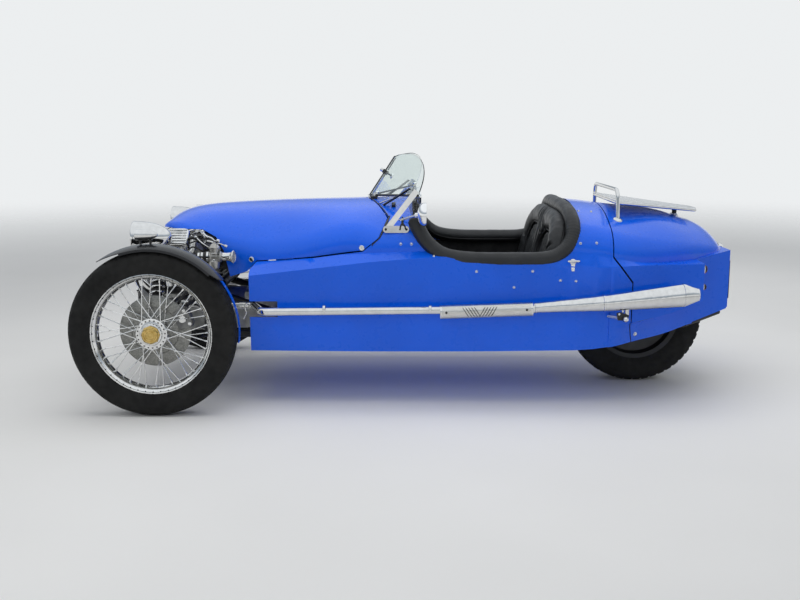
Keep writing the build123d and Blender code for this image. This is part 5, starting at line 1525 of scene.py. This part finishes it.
def damper_spring(name, side):
    """Coil over a damper, with its cups and the eyes' bolts."""
    low, high = at(-45, side * 436, 318), at(-45, side * 325, 549)
    way, u, v = axes_of(high - low)
    length = (high - low).length
    spring = Shape()
    turns = 8.5
    steps = int(turns * 28)
    line = []
    for k in range(steps + 1):
        a = 2 * math.pi * turns * k / steps
        out = u * math.cos(a) + v * math.sin(a)
        line.append(low + way * (0.016 + (length - 0.032) * k / steps) + out * 0.03)
    spring.tube(line, 0.0045, 10)
    spring.build(f"damper_spring_{name}")
    cups = Shape()
    for d in (0.008, length - 0.016):
        cups.lathe([(0.0222, 0.0), (0.0365, 0.0), (0.0375, 0.003), (0.0365, 0.007), (0.0222, 0.008)],
                   low + way * d, way, 40)
    cups.lathe([(0.0222, 0.03), (0.0245, 0.032), (0.0245, 0.04), (0.0222, 0.042)], low, way, 36)
    cups.build(f"spring_cups_{name}", slot="frame_paint", bevel=0.0006)
    ends = Shape()
    for s, y, z in ((-45, 466, 254), (-45, 302, 598)):
        ends.lathe([(0.008, -0.02), (0.013, -0.018), (0.013, 0.018), (0.008, 0.02)], at(s, side * y, z),
                   (1, 0, 0), 24)
        for face in (-1, 1):
            ends.bolt(at(s + 20 * face, side * y, z), (face, 0, 0), 0.015, 0.008)
    ends.build(f"damper_eyes_{name}")


def caliper(name, side):
    """Cast caliper astride the brake disc, behind the kingpin."""
    hub = at(0, side * DISC_Y, FRONT_R)
    cast = Shape()
    outward = Vector((math.cos(math.radians(24)), 0, math.sin(math.radians(24))))
    tangent = Vector((-outward.z, 0, outward.x))
    middle = hub + outward * 0.128
    half = [(-0.026, -0.04), (0.022, -0.046), (0.032, -0.034), (0.036, 0.0), (0.032, 0.034), (0.022, 0.046),
            (-0.026, 0.04), (-0.032, 0.02), (-0.032, -0.02)]
    for offset, thick in ((0.0062, 0.0085), (-0.0062, -0.03)):
        cast.slab(half, middle + Vector((0, side * offset, 0)), outward, tangent, -side * thick)
    cast.slab([(0.024, -0.03), (0.036, -0.026), (0.036, 0.026), (0.024, 0.03)],
              middle - Vector((0, side * 0.008, 0)), outward, tangent, -side * 0.016)
    cast.tube([middle - outward * 0.02 - Vector((0, side * 0.024, 0)),
               hub + outward * 0.05 - Vector((0, side * 0.03, 0)),
               hub + outward * 0.018 - Vector((0, side * 0.034, 0))], [0.016, 0.014, 0.016], 16)
    cast.build(f"caliper_{name}", BODY_OF[name], "frame_paint", material=GREY_CAST, bevel=0.0025)
    bolts = Shape()
    for t in (-0.03, 0.03):
        bolts.bolt(middle + tangent * t + outward * 0.02 + Vector((0, side * 0.0147, 0)), (0, side, 0),
                   0.011, 0.004)
    bolts.lathe([(0.015, 0.0), (0.017, 0.002), (0.015, 0.004), (0.0001, 0.0045)],
                middle + Vector((0, side * 0.0147, 0)), (0, side, 0), 28)
    bolts.build(f"caliper_bolts_{name}", BODY_OF[name])


def front_gear():
    """Timing cover, its nuts and fins, rack gaiters and pivot nuts."""
    cover = Shape()
    cover.lathe([(0.0885, 0.0), (0.0885, 0.008), (0.084, 0.012), (0.07, 0.018), (0.06, 0.03), (0.058, 0.034),
                 (0.03, 0.038), (0.028, 0.044), (0.0001, 0.046)], at(-110, 0, 400), (-1, 0, 0), 72)
    for k in range(-4, 5):
        reach = math.sqrt(max(0.056**2 - (k * 0.0125) ** 2, 0))
        cover.slab([(-reach, 0), (reach, 0), (reach * 0.94, 0.006), (-reach * 0.94, 0.006)],
                   at(-143, 0, 400) + Vector((0, 0, k * 0.0125 - 0.0015)), (0, 1, 0), (-1, 0, 0), 0.003)
    cover.build("timing_cover", slot="engine_alloy", material=POLISHED, bevel=0.0006)
    nuts = Shape()
    for k in range(8):
        a = 2 * math.pi * (k + 0.5) / 8
        spot = at(-120, 78 * math.cos(a), 400 + 78 * math.sin(a))
        nuts.bolt(spot, (-1, 0, 0), 0.01, 0.006)
    for side in (-1, 1):
        for k in range(6):
            a = 2 * math.pi * k / 6
            spot = at(60 + 100 * math.cos(a), side * 75, 380 + 100 * math.sin(a))
            nuts.bolt(spot, (0, side, 0), 0.011, 0.006)
    nuts.build("case_nuts")
    for name, side in SIDES:
        gaiter = Shape()
        profile = [(0.015, 0.196)]
        for k in range(5):
            profile += [(0.0245, 0.198 + 0.0052 * k), (0.029, 0.2006 + 0.0052 * k)]
        profile += [(0.0245, 0.225), (0.0215, 0.2255)]
        gaiter.lathe(profile, at(205, 0, 482), (0, side, 0), 36)
        gaiter.build(f"rack_gaiter_{name}", slot="leather", material=HOSE, angle=20)
        pins = Shape()
        for z, up in ((238, -1), (462, 1)):
            pins.bolt(at(0, side * 570, z), (0, 0, up), 0.02, 0.01)
        for s in (-150, 150):
            for z in (259, 460):
                pins.lathe([(0.0001, -0.02), (0.013, -0.02), (0.013, 0.02), (0.0001, 0.02)],
                           at(s, side * 215, z), (1, 0, 0), 20)
        pins.build(f"pivot_nuts_{name}")


def exhaust_trim(name, side):
    """Joint bands, outlet and hanger of one silencer, with the shield's slots and screws."""
    bands = Shape()
    for station, z, r, width in ((1889, 458.2, 35.6, 9), (1600, 438.1, 22.3, 8), (2226, 491.6, 48.9, 5),
                                 (1150, 432, 17.5, 12), (700, 432, 17.5, 12)):
        r, width = r / 1000, width / 1000
        bands.lathe([(r, 0.0), (r + 0.0014, 0.001), (r + 0.0014, width - 0.001), (r, width)],
                    at(station, side * EXHAUST_Y, z), (1, 0, 0.04 if station > 1500 else 0), 64)
    bands.lathe([(0.027, 0.0), (0.0276, 0.004), (0.0262, 0.006), (0.0235, 0.005), (0.023, 0.0)],
                at(2288, side * EXHAUST_Y, 494), (1, 0, 0), 64)
    bands.build(f"exhaust_bands_{name}")
    # The outlet is a black disc set just inside the pipe's mouth: painted shade inside the pipe.
    outlet = Shape()
    outlet.lathe([(0.0232, 0.003), (0.0225, 0.0008), (0.0001, 0.0006)], at(2290.3, side * EXHAUST_Y, 494),
                 (1, 0, 0), 48)
    outlet.build(f"exhaust_outlet_{name}", material=DARK)
    hanger = Shape()
    hanger.slab([(-0.034, -0.012), (0.01, -0.014), (0.014, 0.01), (-0.026, 0.024), (-0.04, 0.018)],
                at(1986, side * 560, 398), (1, 0, 0), (0, 0, 1), -side * 0.004)
    hanger.lathe([(0.0125, -0.012), (0.014, -0.006), (0.014, 0.004), (0.0125, 0.008), (0.0001, 0.009)],
                 at(1984, side * 562, 392), (0, side, 0), 32)
    hanger.build(f"exhaust_hanger_{name}", slot="frame_paint", material=BLACK_PLASTIC, bevel=0.0008)
    ends = Shape()
    ends.lathe([(0.012, 0.0), (0.012, 0.003), (0.0095, 0.009), (0.005, 0.0125), (0.0001, 0.0135)],
               at(1984, side * 571, 392), (0, side, 0), 32)
    ends.dome(at(1958, side * 563, 412), (0, side, 0), 0.006, 0.005, 16)
    ends.dome(at(1972, side * 563, 424), (0, side, 0), 0.0055, 0.005, 16)
    ends.build(f"hanger_bolts_{name}")
    front, rear = at(1198, side * EXHAUST_Y, 419), at(1592, side * EXHAUST_Y, 433)
    way = (rear - front).normalized()
    out = Vector((0, side, 0))
    up = Vector((-way.z, 0, way.x))
    # The shield's slots are black strips standing just proud of it: painted shade for openings. The screw
    # heads beside them are black as well.
    slots = Shape()
    for group in (-1, 1):
        for k in range(5):
            middle = 0.168 + group * (0.01 + 0.0125 * k)
            rows = []
            for t in range(13):
                a = math.radians(42 - 84 * t / 12)
                along = middle + (0.026 * t / 12 - 0.013) * -group
                ring = out * math.cos(a) + up * math.sin(a)
                width = 0.0019 * min(1, 0.35 + min(t, 12 - t) / 2)
                rows.append([front + way * (along - width) + ring * 0.03025,
                             front + way * along + ring * 0.0304,
                             front + way * (along + width) + ring * 0.03025])
            slots.grid(rows)
    for px, py in ((446.4, 310.8), (527.0, 307.5)):
        spot = seen_on_plane(px, py, Vector((0, -0.58, 0)), Vector((0, 1, 0)))
        along = (spot.x - front.x) / way.x
        for angle in (4, 170):
            ring = out * math.cos(math.radians(angle)) + up * math.sin(math.radians(angle))
            slots.dome(front + way * along + ring * 0.03, ring, 0.0052, 0.0022, 16)
    slots.build(f"shield_slots_{name}", slot="frame_paint", material=DARK)
    collar = Shape()
    for along in (0.001, 0.3855):
        collar.lathe([(0.0175, 0.0), (0.0302, 0.0), (0.031, 0.003), (0.0302, 0.006), (0.0175, 0.006)],
                     front + way * along, way, 64)
    collar.build(f"shield_collars_{name}")


carburettor_bodies = [carburettor(tag, sign) for tag, sign in SIDES]
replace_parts(carburettor_bodies[0], "carburettors")
for tag, sign in SIDES:
    rocker_cover(tag, sign)
    pushrods_and_plugs(tag, sign)
    engine_bay(tag, sign)
    damper_spring(tag, sign)
    caliper(tag, sign)
    exhaust_trim(tag, sign)
front_gear()


# Small trim, set by points of the view and carried by what lies under them


TUB_STUDS = [(400.8, 244.0), (411.5, 244.0), (434.0, 256.0), (476.5, 271.5), (532.7, 271.3), (514.0, 287.5),
             (560.4, 280.5), (576.0, 281.3), (580.6, 243.4), (596.7, 243.0), (578.3, 211.3),
             (591.0, 212.0),]
TAIL_STUDS = [(635.0, 334.0)]
BONNET_FASTENERS = [(251.4, 259.4), (361.7, 248.1)]


def studs():
    """Press studs round the cockpit, and the bonnet's turn fasteners."""
    for name, tree, body, points, radius in (("tub", TUB, "chassis", TUB_STUDS, 0.0046),
                                             ("tail", TAIL, "tail", TAIL_STUDS, 0.007)):
        shape = Shape()
        profile = [(radius * 1.25, -0.001), (radius * 1.3, 0.0006), (radius, 0.0012), (radius * 0.92, 0.004),
                   (radius * 0.6, 0.0058), (0.0001, 0.0062)]
        for place, way in seen_pairs(tree, points):
            shape.lathe(profile, place, way, 20)
        shape.build(f"studs_{name}", body, "chrome")
    turns, slots = Shape(), Shape()
    for place, way in seen_pairs(BONNET, BONNET_FASTENERS):
        turns.lathe([(0.0115, -0.0012), (0.0118, 0.001), (0.01, 0.0022), (0.007, 0.0022), (0.0064, 0.0036),
                     (0.0001, 0.004)], place, way, 28)
        across = way.cross(Vector((0, 0, 1))).normalized()
        # Each slot is a thin black strip on the fastener's head: painted shade for a cut slot.
        slots.slab([(-0.005, -0.0009), (0.005, -0.0009), (0.005, 0.0009), (-0.005, 0.0009)],
                   place + way * 0.0038, across, way.cross(across), 0.0006)
    turns.build("bonnet_fasteners", "bonnet")
    slots.build("fastener_slots", "bonnet", material=DARK)


def bonnet_edging():
    """Rubber along the scuttle where the bonnet's rear edge closes, thick at the corner."""
    rubber = Shape()
    for side in (-1, 1):
        line, radii = [], []
        for t in range(15):
            z = 690 + (806 - 690) * t / 14
            station = 901 + (z - 690) * 0.512 if z < 723 else 934 + (z - 723) * 0.505
            spot, normal = flank(TUB, station + 7, z, side)
            if spot and abs(spot.y) > 0.2:
                line.append(spot + normal * 0.001)
                radii.append(0.0024 + 0.0036 * math.exp(-(((z - 770) / 26) ** 2)))
        for t in range(25):
            y = 352 - (352 - 40) * t / 24
            spot, normal = crown(TUB, 866 + 0.322 * y + 7, side * y)
            if spot and spot.z > 0.8:
                line.append(spot + normal * 0.001)
                radii.append(0.0024)
        rubber.tube(line, radii, 10)
    rubber.build("bonnet_edging", slot="leather", material=BLACK_PLASTIC)


def side_catch(name, side):
    """T handle on the flank behind the seats."""
    top, normal = seen_on(TUB, 573.0, 262.0)
    low, _ = seen_on(TUB, 573.0, 271.0)
    if side > 0:
        top, low, normal = mirrored(top), mirrored(low), mirrored(normal)
    down = (low - top).normalized()
    across = normal.cross(down).normalized()
    shape = Shape()
    shape.lathe([(0.013, -0.001), (0.0135, 0.002), (0.011, 0.004), (0.0065, 0.006), (0.0055, 0.016),
                 (0.006, 0.02)], top, normal, 28)
    bar = top + normal * 0.02
    shape.tube([bar - across * 0.026, bar - across * 0.022, bar, bar + across * 0.022, bar + across * 0.026],
               [0.003, 0.0046, 0.0062, 0.0046, 0.003], 16)
    shape.slab([(-0.008, -0.012), (0.008, -0.012), (0.01, 0.0), (0.006, 0.04), (-0.006, 0.04),
                (-0.01, 0.0)], top + normal * 0.0005, across, down,
               0.0022 if across.cross(down).dot(normal) > 0 else -0.0022)
    shape.dome(top + down * 0.032 + normal * 0.0025, normal, 0.0036, 0.002, 14)
    shape.build(f"side_catch_{name}", bevel=0.0006)


def pipe_hook(name, side):
    """Small sprung hook at the tub's front corner."""
    line = in_view([(246.4, 304.0), (244.8, 306.6), (245.4, 310.0), (246.2, 312.6), (245.0, 316.0),
                    (243.6, 318.8)], -0.5)
    line = [Vector((p.x, side * 0.5, p.z)) for p in line]
    line.insert(0, at(384, side * 494, line[0].z * 1000 + 2))
    shape = Shape()
    shape.tube(smooth_line(line, 8), 0.0032, 12)
    shape.lathe([(0.0001, -0.006), (0.005, -0.004), (0.0062, 0.0), (0.005, 0.004), (0.0001, 0.006)],
                line[1], (0, 0, 1), 20)
    shape.build(f"pipe_hook_{name}")


studs()
bonnet_edging()
for tag, sign in SIDES:
    side_catch(tag, sign)
    pipe_hook(tag, sign)


# Stage, light and camera


def stage_floor():
    """Pale floor that fades into the backdrop far from the car."""
    shape = Shape()
    rings = [0.001, 2, 4, 7, 11, 16, 24, 40]
    turns = [math.pi * k / 32 for k in range(64)]
    rows = [[Vector((r * math.cos(a), r * math.sin(a), 0)) for a in turns] for r in rings]
    mesh = bpy.data.meshes.new("floor")
    shape.grid(rows, wrap_columns=True)
    mesh.from_pydata(shape.verts, [], shape.faces)
    obj = bpy.data.objects.new("floor", mesh)
    scene.collection.objects.link(obj)
    material, tree, shader = new_material("pale_floor")
    tint(tree, noise_field(tree, 0.6), (0.78, 0.78, 0.77), (0.82, 0.82, 0.81), shader.inputs["Base Color"])
    vary(tree, noise_field(tree, 30.0), 0.75, 0.85, shader.inputs["Roughness"])
    bump(tree, shader, noise_field(tree, 120.0), 0.0004, 0.3)
    coords = tree.nodes.new("ShaderNodeTexCoord")
    distance = tree.nodes.new("ShaderNodeVectorMath")
    distance.operation = "LENGTH"
    fade = tree.nodes.new("ShaderNodeMapRange")
    fade.interpolation_type = "SMOOTHSTEP"
    fade.inputs["From Min"].default_value = 3.2
    fade.inputs["From Max"].default_value = 13.0
    clear = tree.nodes.new("ShaderNodeBsdfTransparent")
    mix = tree.nodes.new("ShaderNodeMixShader")
    tree.links.new(coords.outputs["Object"], distance.inputs[0])
    tree.links.new(distance.outputs["Value"], fade.inputs["Value"])
    tree.links.new(fade.outputs["Result"], mix.inputs["Fac"])
    tree.links.new(shader.outputs["BSDF"], mix.inputs[1])
    tree.links.new(clear.outputs["BSDF"], mix.inputs[2])
    tree.links.new(mix.outputs["Shader"], tree.nodes["Material Output"].inputs["Surface"])
    mesh.materials.append(material)


def stage_world():
    """Even light, with a pale backdrop for the camera, metal and glass."""
    world = bpy.data.worlds.new("studio")
    scene.world = world
    world.use_nodes = True
    tree = world.node_tree
    light = tree.nodes["Background"]
    light.inputs["Color"].default_value = (0.93, 0.96, 1.0, 1)
    light.inputs["Strength"].default_value = 0.45
    backdrop = tree.nodes.new("ShaderNodeBackground")
    coords = tree.nodes.new("ShaderNodeTexCoord")
    split = tree.nodes.new("ShaderNodeSeparateXYZ")
    ramp = tree.nodes.new("ShaderNodeValToRGB")
    stops = ((0.12, (0.84, 0.86, 0.87)), (0.2, (0.3, 0.34, 0.38)), (0.34, (0.42, 0.48, 0.55)),
             (0.55, (0.92, 0.96, 1.0)))
    while len(ramp.color_ramp.elements) < len(stops):
        ramp.color_ramp.elements.new(0.5)
    for element, (position, colour) in zip(ramp.color_ramp.elements, stops):
        element.position = position
        element.color = (*colour, 1)
    path = tree.nodes.new("ShaderNodeLightPath")
    either = tree.nodes.new("ShaderNodeMath")
    either.operation = "MAXIMUM"
    any_of = tree.nodes.new("ShaderNodeMath")
    any_of.operation = "MAXIMUM"
    mix = tree.nodes.new("ShaderNodeMixShader")
    tree.links.new(coords.outputs["Generated"], split.inputs["Vector"])
    tree.links.new(split.outputs["Z"], ramp.inputs["Fac"])
    tree.links.new(ramp.outputs["Color"], backdrop.inputs["Color"])
    tree.links.new(path.outputs["Is Camera Ray"], either.inputs[0])
    tree.links.new(path.outputs["Is Glossy Ray"], either.inputs[1])
    tree.links.new(either.outputs["Value"], any_of.inputs[0])
    tree.links.new(path.outputs["Is Transmission Ray"], any_of.inputs[1])
    tree.links.new(any_of.outputs["Value"], mix.inputs["Fac"])
    tree.links.new(light.outputs["Background"], mix.inputs[1])
    tree.links.new(backdrop.outputs["Background"], mix.inputs[2])
    tree.links.new(mix.outputs["Shader"], tree.nodes["World Output"].inputs["Surface"])


def lamp(name, place, target, size, energy, colour=(1, 1, 1)):
    """Soft rectangular lamp that gloss doesn't show."""
    data = bpy.data.lights.new(name, "AREA")
    data.shape = "RECTANGLE"
    data.size, data.size_y = size
    data.energy = energy
    data.color = colour
    obj = bpy.data.objects.new(name, data)
    scene.collection.objects.link(obj)
    obj.location = place
    obj.visible_glossy = False
    obj.rotation_euler = (Vector(target) - Vector(place)).to_track_quat("-Z", "Y").to_euler()


stage_floor()
stage_world()
lamp("overhead", (0.2, -0.4, 3.6), (0.1, 0, 0.3), (5.0, 3.2), 78, (1.0, 0.99, 0.97))
lamp("near_side", (-1.6, -4.4, 2.6), (0, 0, 0.4), (3.6, 2.0), 34)
lamp("far_side", (1.8, 4.2, 2.8), (0, 0, 0.4), (3.2, 2.0), 30)

camera_data = bpy.data.cameras.new("camera")
camera_data.sensor_width = 36
camera_data.lens = 46.575
camera = bpy.data.objects.new("camera", camera_data)
scene.collection.objects.link(camera)
camera.location = CAMERA_PLACE
camera.rotation_euler = (CAMERA_TILT, 0, 0)
scene.camera = camera
